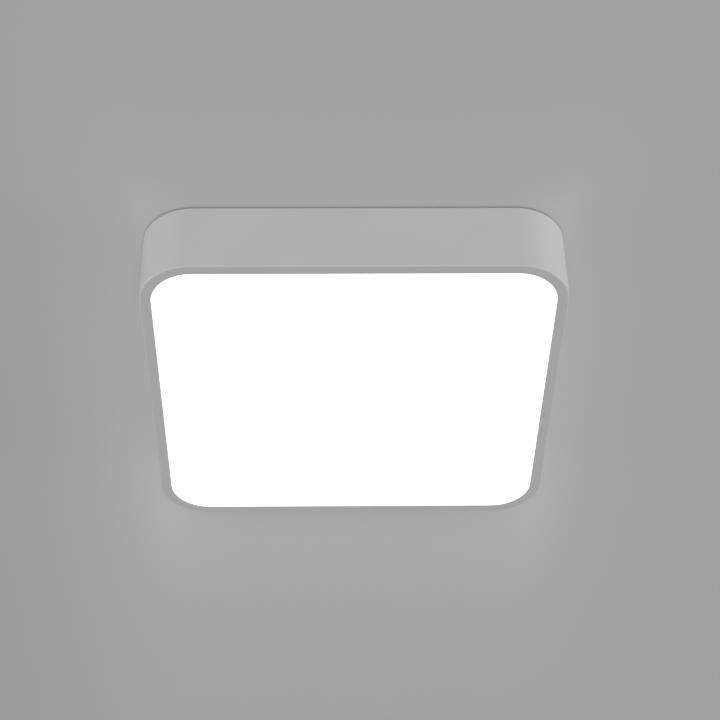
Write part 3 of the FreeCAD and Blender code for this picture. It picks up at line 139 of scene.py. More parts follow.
def stretched(tree, stretch, spin=0.0):
    inputs = (("Vector", object_place(tree)), ("Rotation", (0.0, 0.0, spin)), ("Scale", stretch))
    return node(tree, "ShaderNodeMapping", inputs).outputs["Vector"]


def noise(tree, place, scale, detail, roughness=0.5, output="Fac"):
    inputs = (("Vector", place), ("Scale", scale), ("Detail", detail), ("Roughness", roughness))
    return node(tree, "ShaderNodeTexNoise", inputs).outputs[output]


def new_group(name, inputs, outputs):
    """An empty node group with named inputs, each with its value, and named outputs."""
    tree = bpy.data.node_groups.new(name, "ShaderNodeTree")
    for label, value in inputs.items():
        kind = "NodeSocketVector" if isinstance(value, tuple) else "NodeSocketFloat"
        tree.interface.new_socket(name=label, in_out="INPUT", socket_type=kind).default_value = value
    for label in outputs:
        tree.interface.new_socket(name=label, in_out="OUTPUT", socket_type="NodeSocketFloat")
    return tree, tree.nodes.new("NodeGroupInput").outputs, tree.nodes.new("NodeGroupOutput").inputs


def coat_grain():
    """Fine orange peel of a sprayed or moulded skin. Size is the width of a grain in metres."""
    tree, given, out = new_group("coat_grain", {"Size": 0.0006, "Tone Depth": 0.03}, ("Height", "Tone"))
    place = object_place(tree)
    grain = noise(tree, place, maths(tree, "DIVIDE", 1.0, given["Size"]), 3.0, 0.55)
    clouds = noise(tree, place, 14.0, 4.0)
    tree.links.new(grain, out["Height"])
    tree.links.new(swung(tree, clouds, given["Tone Depth"]), out["Tone"])
    return tree


def zinc_spangle():
    """The crystals of hot-dip zinc. Each has its own tone and gloss. Size is their width in metres."""
    tree, given, out = new_group("zinc_spangle", {"Size": 0.006, "Contrast": 0.25},
                                 ("Tone", "Gloss", "Height"))
    per_metre = maths(tree, "DIVIDE", 1.0, given["Size"])
    place = object_place(tree)
    warp = noise(tree, place, times(tree, per_metre, 1.7), 2.0, output="Color")
    bent = node(tree, "ShaderNodeVectorMath", ((0, warp), (1, (0.0022, 0.0022, 0.0022)), (2, place)),
                operation="MULTIPLY_ADD").outputs["Vector"]
    cells = node(tree, "ShaderNodeTexVoronoi", (("Vector", bent), ("Scale", per_metre), ("Randomness", 1.0)))
    shade = node(tree, "ShaderNodeSeparateColor", (("Color", cells.outputs["Color"]),)).outputs
    feather = noise(tree, bent, times(tree, per_metre, 6.0), 3.0)
    crystal = plus(tree, times(tree, shade[0], 0.75), times(tree, feather, 0.25))
    tree.links.new(swung(tree, crystal, given["Contrast"]), out["Tone"])
    tree.links.new(shade[1], out["Gloss"])
    tree.links.new(feather, out["Height"])
    return tree


def rolled_lines():
    """Fine drawing or rolling lines along one axis."""
    tree, given, out = new_group("rolled_lines", {"Stretch": (40.0, 2500.0, 2500.0), "Contrast": 0.2},
                                 ("Tone", "Height"))
    lines = noise(tree, stretched(tree, given["Stretch"]), 1.0, 2.0)
    tree.links.new(swung(tree, lines, given["Contrast"]), out["Tone"])
    tree.links.new(lines, out["Height"])
    return tree


def handling_marks():
    """Sparse fine scratches and dull smudges from fitting and cleaning."""
    tree, given, out = new_group("handling_marks", {"Amount": 0.5}, ("Scratch", "Smudge"))
    scratches = []
    for stretch, spin in (((18.0, 900.0, 900.0), 0.5), ((1100.0, 22.0, 900.0), -0.35)):
        scratches.append(fade(tree, noise(tree, stretched(tree, stretch, spin), 1.0, 1.0), 0.72, 0.78))
    smudge = fade(tree, noise(tree, object_place(tree), 22.0, 5.0, 0.6), 0.45, 0.75)
    tree.links.new(times(tree, maths(tree, "MAXIMUM", *scratches), given["Amount"]), out["Scratch"])
    tree.links.new(times(tree, smudge, given["Amount"]), out["Smudge"])
    return tree


def worn_edges():
    """Where edges rub bright or pale: high on convex edges, broken up by noise."""
    tree, given, out = new_group("worn_edges", {"Reach": 0.0006, "Amount": 0.5}, ("Mask",))
    soft = node(tree, "ShaderNodeBevel", (("Radius", given["Reach"]),), samples=4).outputs["Normal"]
    sharp = node(tree, "ShaderNodeNewGeometry").outputs["Normal"]
    turn = node(tree, "ShaderNodeVectorMath", ((0, soft), (1, sharp)), operation="DOT_PRODUCT")
    edge = fade(tree, turn.outputs["Value"], 0.995, 0.86)
    broken = fade(tree, noise(tree, object_place(tree), 420.0, 4.0), 0.42, 0.62)
    tree.links.new(times(tree, edge, broken, given["Amount"]), out["Mask"])
    return tree


groups = SimpleNamespace(coat=coat_grain(), spangle=zinc_spangle(), lines=rolled_lines(),
                         marks=handling_marks(), edges=worn_edges())


def use_group(tree, group, **values):
    made = tree.nodes.new("ShaderNodeGroup")
    made.node_tree = group
    for key, value in values.items():
        made.inputs[key.replace("_", " ")].default_value = value
    return made.outputs


# ---------------------------------------------------------------- finishes

finish = {}


def new_material(name, **constants):
    """A finish with one Principled BSDF, and the constants set on its own sockets."""
    material = bpy.data.materials.new(name)
    material.use_nodes = True
    tree = material.node_tree
    sockets = tree.nodes["Principled BSDF"].inputs
    for key, value in constants.items():
        sockets[key.replace("_", " ")].default_value = value
    finish[name] = material
    return tree, sockets


def rgb(red, green, blue):
    return (red, green, blue, 1.0)


def lighter(colour, factor, lift=0.0):
    return rgb(*(min(1.0, part * factor + lift) for part in colour[:3]))


def toned(tree, colour, *tones):
    """colour made darker or lighter by values about 1."""
    total = times(tree, *tones)
    grey = node(tree, "ShaderNodeCombineColor", ((0, total), (1, total), (2, total))).outputs[0]
    return blend_colour(tree, 1.0, colour, grey, "MULTIPLY")


def bumped(tree, sockets, height, depth, strength=1.0):
    bump = node(tree, "ShaderNodeBump", (("Height", height), ("Distance", depth), ("Strength", strength)))
    tree.links.new(bump.outputs["Normal"], sockets["Normal"])


def sprayed_metal(name, colour, roughness, grain=0.0007, depth=0.00002, wear=0.25,
                  under=rgb(0.55, 0.55, 0.56)):
    """Sprayed coat on metal: fine peel, faint smudges, and edges worn to the colour under the coat."""
    tree, sockets = new_material(name, IOR=1.5, Specular_IOR_Level=0.4)
    coat = use_group(tree, groups.coat, Size=grain, Tone_Depth=0.05)
    marks = use_group(tree, groups.marks, Amount=0.5)
    edges = use_group(tree, groups.edges, Reach=0.0007, Amount=wear)
    base = toned(tree, colour, coat["Tone"])
    dull = toned(tree, base, coat["Height"])
    smudged = blend_colour(tree, times(tree, marks["Smudge"], 0.10), base, dull)
    tree.links.new(blend_colour(tree, edges["Mask"], smudged, under), sockets["Base Color"])
    rough = plus(tree, times(tree, marks["Smudge"], 0.12), roughness)
    scratched = less(tree, rough, times(tree, marks["Scratch"], 0.08), clamp=True)
    tree.links.new(scratched, sockets["Roughness"])
    bumped(tree, sockets, coat["Height"], depth)


def galvanised(name, colour):
    """Zinc-dipped sheet with its spangle, dulled by handling."""
    tree, sockets = new_material(name, Metallic=0.85)
    zinc = use_group(tree, groups.spangle, Size=0.0045, Contrast=0.22)
    marks = use_group(tree, groups.marks, Amount=0.8)
    edges = use_group(tree, groups.edges, Reach=0.0006, Amount=0.5)
    base = toned(tree, colour, zinc["Tone"])
    dull = blend_colour(tree, times(tree, marks["Smudge"], 0.35), base, rgb(0.36, 0.37, 0.38))
    tree.links.new(blend_colour(tree, edges["Mask"], dull, rgb(0.75, 0.76, 0.77)), sockets["Base Color"])
    rough = plus(tree, times(tree, zinc["Gloss"], 0.16), 0.51)
    tree.links.new(plus(tree, rough, times(tree, marks["Smudge"], 0.12)), sockets["Roughness"])
    bumped(tree, sockets, less(tree, zinc["Height"], marks["Scratch"]), 0.00002, 0.6)


def drawn_metal(name, colour, roughness, stretch=(900.0, 900.0, 900.0), contrast=0.3):
    """Rolled, drawn or turned metal with its fine lines."""
    tree, sockets = new_material(name, Metallic=1.0)
    lines = use_group(tree, groups.lines, Stretch=stretch, Contrast=contrast)
    marks = use_group(tree, groups.marks, Amount=0.6)
    edges = use_group(tree, groups.edges, Reach=0.0003, Amount=0.5)
    base = toned(tree, colour, lines["Tone"])
    tree.links.new(blend_colour(tree, edges["Mask"], base, lighter(colour, 1.25)), sockets["Base Color"])
    rough = plus(tree, times(tree, lines["Height"], 0.14), roughness - 0.07)
    tree.links.new(plus(tree, rough, times(tree, marks["Smudge"], 0.15)), sockets["Roughness"])
    bumped(tree, sockets, lines["Height"], 0.00001, 0.5)


def moulded(name, colour, roughness, grain=0.0004, depth=0.00001, **constants):
    """Moulded plastic or rubber with a fine eroded grain, rubbed smoother where it is handled."""
    tree, sockets = new_material(name, **constants)
    skin = use_group(tree, groups.coat, Size=grain, Tone_Depth=0.08)
    marks = use_group(tree, groups.marks, Amount=0.6)
    edges = use_group(tree, groups.edges, Reach=0.0004, Amount=0.3)
    base = toned(tree, colour, skin["Tone"])
    pale = lighter(colour, 1.15, 0.02)
    tree.links.new(blend_colour(tree, edges["Mask"], base, pale), sockets["Base Color"])
    rough = plus(tree, times(tree, skin["Height"], 0.10), roughness - 0.05)
    scratched = less(tree, rough, times(tree, marks["Scratch"], 0.1), clamp=True)
    tree.links.new(scratched, sockets["Roughness"])
    bumped(tree, sockets, skin["Height"], depth)


FLANGE_LEVEL, FACE_LEVEL = -0.0528, -0.0536
INNER_GLOW = 0.15


def lit_opal(name):
    """Opal acrylic lit from behind: evenly bright outside, and faint inside, above the diffuser's flange."""
    tree, sockets = new_material(name, IOR=1.49, Specular_IOR_Level=0.3, Emission_Strength=1.0)
    skin = use_group(tree, groups.coat, Size=0.0009, Tone_Depth=0.01)
    marks = use_group(tree, groups.marks, Amount=0.5)
    tree.links.new(toned(tree, rgb(0.90, 0.90, 0.90), skin["Tone"]), sockets["Base Color"])
    outside = fade(tree, object_sides(tree)[2], FLANGE_LEVEL, FACE_LEVEL, INNER_GLOW, 1.0)
    tree.links.new(toned(tree, rgb(0.98, 0.98, 0.98), skin["Tone"], outside), sockets["Emission Color"])
    tree.links.new(plus(tree, times(tree, marks["Smudge"], 0.1), 0.4), sockets["Roughness"])
    bumped(tree, sockets, skin["Height"], 0.000008, 0.5)


def lit_phosphor(name):
    """Yellow phosphor of an LED that is on."""
    tree, sockets = new_material(name, Roughness=0.4, Emission_Strength=1.0)
    grain = use_group(tree, groups.coat, Size=0.0002, Tone_Depth=0.2)
    tree.links.new(toned(tree, rgb(0.90, 0.68, 0.16), grain["Tone"]), sockets["Base Color"])
    tree.links.new(toned(tree, rgb(0.90, 0.80, 0.52), grain["Tone"]), sockets["Emission Color"])
    bumped(tree, sockets, grain["Height"], 0.000006)


def clear_acrylic(name):
    """Thin clear acrylic: seen through where it faces the eye, and glossy towards its rim."""
    tree, sockets = new_material(name, IOR=1.49, Base_Color=rgb(0.90, 0.92, 0.93))
    marks = use_group(tree, groups.marks, Amount=0.6)
    tree.links.new(plus(tree, times(tree, marks["Smudge"], 0.12), 0.05), sockets["Roughness"])
    rim = node(tree, "ShaderNodeLayerWeight", (("Blend", 0.4),)).outputs["Facing"]
    body = fade(tree, rim, 0.15, 0.95, 0.14, 0.62)
    tree.links.new(plus(tree, body, times(tree, marks["Smudge"], 0.06)), sockets["Alpha"])


def two_colour_wire(name):
    """Green insulation with a yellow stripe that winds round it."""
    tree, sockets = new_material(name, Specular_IOR_Level=0.4)
    skin = use_group(tree, groups.coat, Size=0.0005, Tone_Depth=0.1)
    x, y, _ = object_sides(tree)
    wave = maths(tree, "SINE", times(tree, plus(tree, y, times(tree, x, 0.35)), 2600.0))
    colour = blend_colour(tree, fade(tree, wave, -0.1, 0.1), rgb(0.05, 0.32, 0.06), rgb(0.80, 0.66, 0.03))
    tree.links.new(toned(tree, colour, skin["Tone"]), sockets["Base Color"])
    tree.links.new(plus(tree, times(tree, skin["Height"], 0.1), 0.4), sockets["Roughness"])
    bumped(tree, sockets, skin["Height"], 0.00001)


sprayed_metal("frame_paint", rgb(0.43, 0.43, 0.435), 0.45)
sprayed_metal("tray_paint", rgb(0.80, 0.80, 0.79), 0.28, grain=0.0010, wear=0.35, under=rgb(0.50, 0.51, 0.52))
sprayed_metal("strip_mask", rgb(0.82, 0.82, 0.81), 0.35, grain=0.0004, depth=0.00001, wear=0.4,
              under=rgb(0.60, 0.61, 0.62))
galvanised("galvanised_sheet", rgb(0.64, 0.65, 0.66))
drawn_metal("spring_steel", rgb(0.40, 0.41, 0.43), 0.42, stretch=(2600.0, 2600.0, 60.0))
drawn_metal("zinc_plate", rgb(0.62, 0.63, 0.65), 0.34, contrast=0.2)
drawn_metal("brass_plate", rgb(0.72, 0.50, 0.20), 0.30)
drawn_metal("tin_plate", rgb(0.70, 0.69, 0.67), 0.25)
lit_opal("opal_acrylic")
lit_phosphor("led_phosphor")
clear_acrylic("clear_lens")
two_colour_wire("earth_wire")
moulded("black_rubber", rgb(0.022, 0.022, 0.023), 0.62, grain=0.0005, depth=0.00002)
moulded("white_nylon", rgb(0.78, 0.78, 0.74), 0.45, Subsurface_Weight=0.05)
moulded("white_wire", rgb(0.74, 0.74, 0.72), 0.42, grain=0.0008)
moulded("driver_plastic", rgb(0.80, 0.80, 0.78), 0.50, grain=0.0006, depth=0.00002)
moulded("board_green", rgb(0.015, 0.13, 0.045), 0.30, grain=0.0012, Coat_Weight=0.5, Coat_Roughness=0.15)
moulded("ferrite_tape", rgb(0.62, 0.42, 0.03), 0.30, grain=0.0015)
moulded("capacitor_sleeve", rgb(0.012, 0.014, 0.03), 0.25, Coat_Weight=0.5, Coat_Roughness=0.1)
moulded("terminal_grey", rgb(0.33, 0.34, 0.35), 0.42)
moulded("lever_orange", rgb(0.80, 0.16, 0.012), 0.35)
moulded("brown_wire", rgb(0.10, 0.035, 0.012), 0.38, grain=0.0008)
moulded("blue_wire", rgb(0.02, 0.08, 0.40), 0.38, grain=0.0008)


# ---------------------------------------------------------------- outlines and skins


def circle(x, y, radius, steps):
    turns = [math.tau * step / steps for step in range(steps)]
    return [(x + radius * math.cos(turn), y + radius * math.sin(turn)) for turn in turns]


def square_path(half, corner, steps):
    """Points of a rounded square, from the middle of the far side."""
    line = []
    for quarter in range(4):
        middle = Vector((half - corner, half - corner))
        for step in range(steps + 1):
            turn = math.radians(90 - 90 * step / steps)
            point = middle + corner * Vector((math.cos(turn), math.sin(turn)))
            spin = -math.pi / 2 * quarter
            line.append((point.x * math.cos(spin) - point.y * math.sin(spin),
                         point.x * math.sin(spin) + point.y * math.cos(spin)))
    return line


EASE_STEPS = 5


def eased(section, radii):
    """A section whose corners are rounded. radii has one radius for each corner of the closed outline."""
    line = []
    for place, (corner, radius) in enumerate(zip(section, radii)):
        corner = Vector(corner)
        before = Vector(section[place - 1]) - corner
        after = Vector(section[(place + 1) % len(section)]) - corner
        reach = min(radius, before.length * 0.49, after.length * 0.49)
        if reach <= 0:
            line.append(tuple(corner))
            continue
        cut = min(reach / math.tan(before.angle(after) / 2), before.length * 0.49, after.length * 0.49)
        start, end = corner + before.normalized() * cut, corner + after.normalized() * cut
        for step in range(EASE_STEPS + 1):
            share = step / EASE_STEPS
            line.append(tuple((1 - share) ** 2 * start + 2 * share * (1 - share) * corner + share ** 2 * end))
    return line


def skin_faces(rows, around, closed):
    """Faces over rows of points with the same count around, closed where the last row joins the first."""
    faces = []
    for row in range(rows if closed else rows - 1):
        first, second = row * around, (row + 1) % rows * around
        for place in range(around):
            beside = (place + 1) % around
            faces.append((first + place, first + beside, second + beside, second + place))
    return faces


def turned(profile, x=0.0, y=0.0, steps=32, ring=False):
    """A profile of (radius, height) points turned about an upright axis. A ring has a bore."""
    points = [(*point, height) for radius, height in profile for point in circle(x, y, radius, steps)]
    return points, skin_faces(len(profile), steps, ring)


def squared(profile, x, y, ring=False):
    """A profile of (half width, height) points drawn round an upright square. A ring has an open middle."""
    corners = ((-1, -1), (1, -1), (1, 1), (-1, 1))
    points = [(x + half * side, y + half * end, height) for half, height in profile for side, end in corners]
    faces = skin_faces(len(profile), 4, ring)
    if not ring:
        faces += [(0, 1, 2, 3), tuple(range(len(points) - 4, len(points)))]
    return points, faces


# ---------------------------------------------------------------- pieces


def smoothed(piece):
    for face in piece.data.polygons:
        face.use_smooth = True
    piece.modifiers.new("even_normals", "WEIGHTED_NORMAL").keep_sharp = True


def new_piece(name, mesh, slot, body, replaced, smooth=True):
    """A piece of the light, in a record material slot, that rides on a body and may stand for CAD nodes."""
    piece = bpy.data.objects.new(name, mesh)
    scene.collection.objects.link(piece)
    mesh.materials.append(finish[slot])
    if smooth:
        smoothed(piece)
    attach(piece, body)
    if replaced:
        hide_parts(*replaced)


def mesh_of(name, points, faces):
    """A mesh from points in millimetres, with points that meet joined and its faces turned outwards."""
    mesh = bpy.data.meshes.new(name)
    mesh.from_pydata([(x * MM, y * MM, z * MM) for x, y, z in points], [], faces)
    mesh.update()
    joined = bmesh.new()
    joined.from_mesh(mesh)
    bmesh.ops.remove_doubles(joined, verts=joined.verts, dist=1e-7)
    bmesh.ops.recalc_face_normals(joined, faces=joined.faces)
    joined.to_mesh(mesh)
    joined.free()
    return mesh


def base_piece(name, shapes, slot, *replaced, smooth=True):
    """One piece on the base from several shapes, each given as its points and faces."""
    points, faces = [], []
    for shape_points, shape_faces in shapes:
        start = len(points)
        points += shape_points
        faces += [tuple(corner + start for corner in face) for face in shape_faces]
    new_piece(name, mesh_of(name, points, faces), slot, "base", replaced, smooth)


def soften(name, width):
    """A CAD node keeps its shape, and its edges get the small rounding that a press or a mould leaves."""
    part = frame["nodes"][name]
    weld = part.modifiers.new("weld", "WELD")
    weld.merge_threshold = 2e-6
    flat = part.modifiers.new("flat", "DECIMATE")
    flat.decimate_type, flat.angle_limit = "DISSOLVE", math.radians(1.0)
    edge = part.modifiers.new("edge", "BEVEL")
    edge.width, edge.segments, edge.limit_method = width * MM, 2, "ANGLE"
    edge.angle_limit, edge.use_clamp_overlap, edge.miter_outer = math.radians(30.0), True, "MITER_ARC"
    smoothed(part)


# ---------------------------------------------------------------- cover

FRAME_HALF, FRAME_CORNER = 150.0, 38.0
COVER_STEPS = 28


def swept_square(name, section, closed=True):
    """A section of (distance from the middle plane, height) points swept round the cover's rounded square."""
    points = []
    for away, height in section:
        path = square_path(away, FRAME_CORNER - (FRAME_HALF - away), COVER_STEPS)
        points += [(x, y, height) for x, y in path]
    around = len(points) // len(section)
    faces = skin_faces(len(section), around, closed)
    if not closed:
        faces += [tuple(range(around)), tuple(range(len(points) - around, len(points)))]
    return mesh_of(name, points, faces)


def cover_frame():
    """The aluminium profile: wall, lip, the diffuser's groove and the rib that the springs catch."""
    section = [(150.0, -1.0), (148.8, -1.0), (148.8, -16.0), (145.6, -16.0), (145.6, -17.2), (148.8, -17.2),
               (148.8, -50.3), (145.6, -50.3), (145.6, -51.3), (148.8, -51.3), (148.8, -53.5), (141.7, -53.5),
               (141.7, -55.0), (150.0, -55.0)]
    radii = [0.35, 0.35, 0.2, 0.3, 0.3, 0.2, 0.2, 0.25, 0.25, 0.15, 0.15, 0.2, 0.35, 1.5]
    mesh = swept_square("cover_frame", eased(section, radii))
    new_piece("cover_frame", mesh, "frame_paint", "cover", ["frame_ring"])


def cover_diffuser():
    """The opal face: flush with the lip, with a soft edge and a flange that lies in the frame's groove."""
    section = [(139.4, -53.0), (139.6, -52.8), (139.6, -51.5), (148.4, -51.5), (148.4, -53.5), (141.6, -53.5),
               (141.6, -54.5), (141.52, -54.78), (141.35, -54.93), (141.1, -55.0)]
    mesh = swept_square("cover_diffuser", section, closed=False)
    new_piece("cover_diffuser", mesh, "opal_acrylic", "cover", ["diffuser"])


# ---------------------------------------------------------------- where the pieces on the base sit

TRAY_HALF, TRAY_CORNER, TRAY_SHEET = 134.0, 24.0, 0.6
TRAY_TOP, TRAY_UNDER, TRAY_RIM = -23.0, -23.6, -15.6
PILLAR_X, PILLAR_Y = (-110.0, 110.0), (-66.0, 66.0)
BUSH_X, BUSH_Y = -118.0, 122.0

STRIP_Y = (-99.0, -33.0, 33.0, 99.0)
LED_X = (-99.0, -33.0, 33.0, 99.0)
RIVET_X = (-66.0, 66.0)
STRIP_FACE = -24.6
SOCKET_X, SOCKET_AHEAD = -122.0, 2.5

DRIVER_Y, DRIVER_EARS_X = 74.0, (-54.0, 54.0)
TERMINAL_X, TERMINAL_EARS_Y, POLE_PITCH = 45.5, (-15.65, 15.65), 7.6
EAR_FACE = -5.3


# ---------------------------------------------------------------- screws

SCREW_STEPS = 24
HEAD_RADIUS, HEAD_HEIGHT, SHANK_RADIUS = 2.8, 1.9, 1.5


def cross_cut(x, y, rim, face, depth):
    """The flat crown of a screw head, with a cross cut in it that narrows to its floor."""
    around = [(*point, face) for point in circle(x, y, rim, SCREW_STEPS)]
    arm, slot = rim * 0.78, rim * 0.24
    mouth, floor = [], []
    for quarter in range(4):
        spin = Matrix.Rotation(math.pi / 2 * quarter, 2)
        for corner in ((arm, -slot), (arm, slot), (slot, slot)):
            out = spin @ Vector(corner)
            mouth.append((x + out.x, y + out.y, face))
            floor.append((x + out.x * 0.7, y + out.y * 0.7, face + depth))
    count, corners = SCREW_STEPS, len(mouth)
    faces = []
    for quarter in range(4):
        first = quarter * SCREW_STEPS // 4
        rims = [(first + step) % count for step in range(-1, 6)]
        end, side, inner = (count + quarter * 3 + place for place in range(3))
        following = count + (quarter * 3 + 3) % corners
        faces += [(rims[0], rims[1], rims[2], side, end), (rims[2], rims[3], rims[4], inner, side),
                  (rims[4], rims[5], rims[6], following, inner)]
        before = count + corners + (quarter * 3 - 1) % corners
        faces.append((end + corners, side + corners, inner + corners, before))
    faces += [tuple(count + place for place in face) for face in skin_faces(2, corners, False)]
    faces.append(tuple(count + corners + quarter * 3 + 2 for quarter in range(4)))
    return around + mouth + floor, faces


def cross_screw(x, y, seat, length):
    """Pan-head screw with its head down: shank with a rolled thread, domed head and cross."""
    pitch = SHANK_RADIUS * 0.45
    tip = seat + length
    profile = [(0.0, tip), (SHANK_RADIUS * 0.6, tip)]
    for turn in range(int(length / pitch)):
        profile.append((SHANK_RADIUS * (1.0 if turn % 2 else 0.8), tip - pitch * (turn + 0.6)))
    profile.append((SHANK_RADIUS, seat))
    for share, drop in ((0.97, 0.0), (1.0, 0.12), (1.0, 0.45), (0.95, 0.72), (0.86, 0.92), (0.74, 1.0)):
        profile.append((HEAD_RADIUS * share, seat - HEAD_HEIGHT * drop))
    crown = cross_cut(x, y, HEAD_RADIUS * 0.74, seat - HEAD_HEIGHT, HEAD_HEIGHT * 0.6)
    return [turned(profile, x, y, SCREW_STEPS), crown]


def screws():
    sets = [("tray_screw", "_set", [(x, y) for x in PILLAR_X for y in PILLAR_Y], TRAY_UNDER, 5.5),
            ("driver_screw", "_pair", [(x, DRIVER_Y) for x in DRIVER_EARS_X], EAR_FACE, 4.0),
            ("terminal_screw", "_pair", [(TERMINAL_X, y) for y in TERMINAL_EARS_Y], EAR_FACE, 4.0)]
    for kind, count, places, seat, length in sets:
        shapes = [shape for x, y in places for shape in cross_screw(x, y, seat, length)]
        base_piece(kind + count, shapes, "zinc_plate", kind + "s")


# ---------------------------------------------------------------- lamps and their strips


def lens(x, y):
    """Wide-angle lens: a pocket for the LED, a skirt, and a low dome with a dimple over the LED."""
    profile = [(0.0, -2.3), (1.0, -2.15), (1.9, -1.7), (2.6, -0.9), (3.0, 0.0), (7.1, 0.0), (7.5, -0.3),
               (7.5, -1.1), (7.3, -1.35), (6.7, -1.5), (6.55, -2.1), (6.2, -2.9), (5.6, -3.65), (4.8, -4.3),
               (3.9, -4.75), (3.0, -4.97), (2.2, -4.95), (1.4, -4.7), (0.7, -4.35), (0.0, -4.15)]
    return turned([(radius, STRIP_FACE + drop) for radius, drop in profile], x, y, 48)


def phosphor(x, y):
    """Phosphor pad of an LED, slightly crowned."""
    half, face = 1.25, STRIP_FACE - 0.05
    profile = [(half, face), (half, face - 0.5), (half * 0.9, face - 0.6), (half * 0.5, face - 0.65)]
    return squared(profile, x, y)


def chip_housing(x, y):
    """White moulded cup round an LED's phosphor."""
    profile = [(1.3, 0.0), (1.5, 0.0), (1.5, -0.68), (1.42, -0.7), (1.28, -0.7), (1.26, -0.45)]
    return squared([(half, STRIP_FACE + drop) for half, drop in profile], x, y, ring=True)


def push_rivet(x, y):
    """Nylon push rivet: its spread end above the tray, and a round head with the pin pressed flush."""
    spread = [(0.0, 1.2), (1.0, 1.2), (1.7, 0.9), (2.1, 0.4), (2.0, 0.0), (1.5, 0.0)]
    head = [(1.5, 0.0), (2.85, 0.0), (3.0, -0.25), (2.85, -0.7), (2.4, -1.0), (1.7, -1.15), (1.25, -1.2),
            (1.15, -1.0), (1.05, -1.0), (0.95, -1.15), (0.0, -1.2)]
    profile = [(radius, TRAY_TOP + rise) for radius, rise in spread]
    profile += [(radius, STRIP_FACE + drop) for radius, drop in head]
    return turned(profile, x, y)


def strips_and_lamps():
    for number, y in enumerate(STRIP_Y, start=1):
        base_piece(f"lenses_{number}", [lens(x, y) for x in LED_X], "clear_lens", f"led_lenses_{number}")
        base_piece(f"phosphor_{number}", [phosphor(x, y) for x in LED_X], "led_phosphor",
                   f"led_chips_{number}", smooth=False)
    base_piece("chip_housings", [chip_housing(x, y) for y in STRIP_Y for x in LED_X], "white_nylon",
               smooth=False)
    base_piece("push_rivets", [push_rivet(x, y) for x in RIVET_X for y in STRIP_Y], "white_nylon",
               "strip_rivets")


# ---------------------------------------------------------------- tray


TRAY_STEPS, WINDOW_STEPS = 20, 8
BEND = 2.0
WINDOW_LEFT, WINDOW_RIGHT, WINDOW_HALF, WINDOW_CORNER = -23.5, 62.5, 24.0, 4.0
TOOL_X, TOOL_Y = (-90.0, 90.0), (-80.0, 80.0)
BUSH_HOLE, TOOL_HOLE, SCREW_HOLE, RIVET_HOLE = 4.5, 8.0, 1.7, 1.5


def window(left, right, half, corner):
    """Outline of an opening with rounded corners, from left to right, and half its height each way."""
    line = []
    for quarter, (x, y) in enumerate(((right, half), (left, half), (left, -half), (right, -half))):
        middle = (x + (corner if x == left else -corner), y + (corner if y == -half else -corner))
        for step in range(WINDOW_STEPS + 1):
            turn = math.pi / 2 * (quarter + step / WINDOW_STEPS)
            line.append((middle[0] + corner * math.cos(turn), middle[1] + corner * math.sin(turn)))
    return line


def tray_holes():
    """Wiring window, the bush's hole, tool holes, screw holes and rivet holes."""
    holes = [window(WINDOW_LEFT, WINDOW_RIGHT, WINDOW_HALF, WINDOW_CORNER)]
    holes.append(circle(BUSH_X, BUSH_Y, BUSH_HOLE, 40))
    holes += [circle(x, y, TOOL_HOLE, 48) for x in TOOL_X for y in TOOL_Y]
    holes += [circle(x, y, SCREW_HOLE, 20) for x in PILLAR_X for y in PILLAR_Y]
    holes += [circle(x, y, RIVET_HOLE, 20) for x in RIVET_X for y in STRIP_Y]
    return holes


def pressed_tray():
    """White sheet tray: a flange turned up with a round bend, and a flat plate with its holes."""
    made = bmesh.new()

    def points(outline, height):
        return [made.verts.new((x * MM, y * MM, height * MM)) for x, y in outline]

    def strip(first, second):
        for place, vert in enumerate(first):
            beside = (place + 1) % len(first)
            made.faces.new((vert, first[beside], second[beside], second[place]))

    flat, wall = TRAY_HALF - BEND, TRAY_HALF - TRAY_SHEET
    section = eased([(flat, TRAY_TOP), (wall, TRAY_TOP), (wall, TRAY_RIM), (TRAY_HALF, TRAY_RIM),
                     (TRAY_HALF, TRAY_UNDER), (flat, TRAY_UNDER)], [0.0, 0.8, 0.15, 0.15, 1.4, 0.0])
    rings = [points(square_path(away, TRAY_CORNER - (TRAY_HALF - away), TRAY_STEPS), height)
             for away, height in section]
    for first, second in zip(rings, rings[1:]):
        strip(first, second)
    top, under = [rings[0]], [rings[-1]]
    for outline in tray_holes():
        upper, lower = points(outline, TRAY_TOP), points(outline, TRAY_UNDER)
        strip(upper, lower)
        top.append(upper)
        under.append(lower)
    for plate in (top, under):
        edges = [made.edges.get((vert, line[(place + 1) % len(line)]))
                 for line in plate for place, vert in enumerate(line)]
        bmesh.ops.triangle_fill(made, use_beauty=True, edges=edges)
    bmesh.ops.recalc_face_normals(made, faces=made.faces)
    mesh = bpy.data.meshes.new("tray")
    made.to_mesh(mesh)
    made.free()
    new_piece("tray", mesh, "tray_paint", "base", ["gear_tray"])


# ---------------------------------------------------------------- rubber and capacitors


def rubber():
    """The grommet in the pan and the lamp lead's bush in the tray, each with a groove for its sheet."""
    grommet = eased([(4.0, -1.4), (9.2, -1.4), (9.2, -3.0), (7.0, -3.0), (7.0, -3.8), (9.2, -3.8),
                     (9.2, -5.4), (4.0, -5.4)], [0.7, 0.8, 0.3, 0.0, 0.0, 0.3, 0.8, 0.7])
    base_piece("grommet", [turned(grommet, steps=64, ring=True)], "black_rubber", "cable_grommet")
    bush = eased([(3.2, -21.8), (6.0, -21.8), (6.0, -22.8), (4.8, -22.8), (4.8, -23.8), (6.0, -23.8),
                  (6.0, -24.8), (3.2, -24.8)], [0.3, 0.5, 0.2, 0.0, 0.0, 0.2, 0.5, 0.3])
    base_piece("tray_bush", [turned(bush, BUSH_X, BUSH_Y, 48, ring=True)], "black_rubber", "lead_bush")


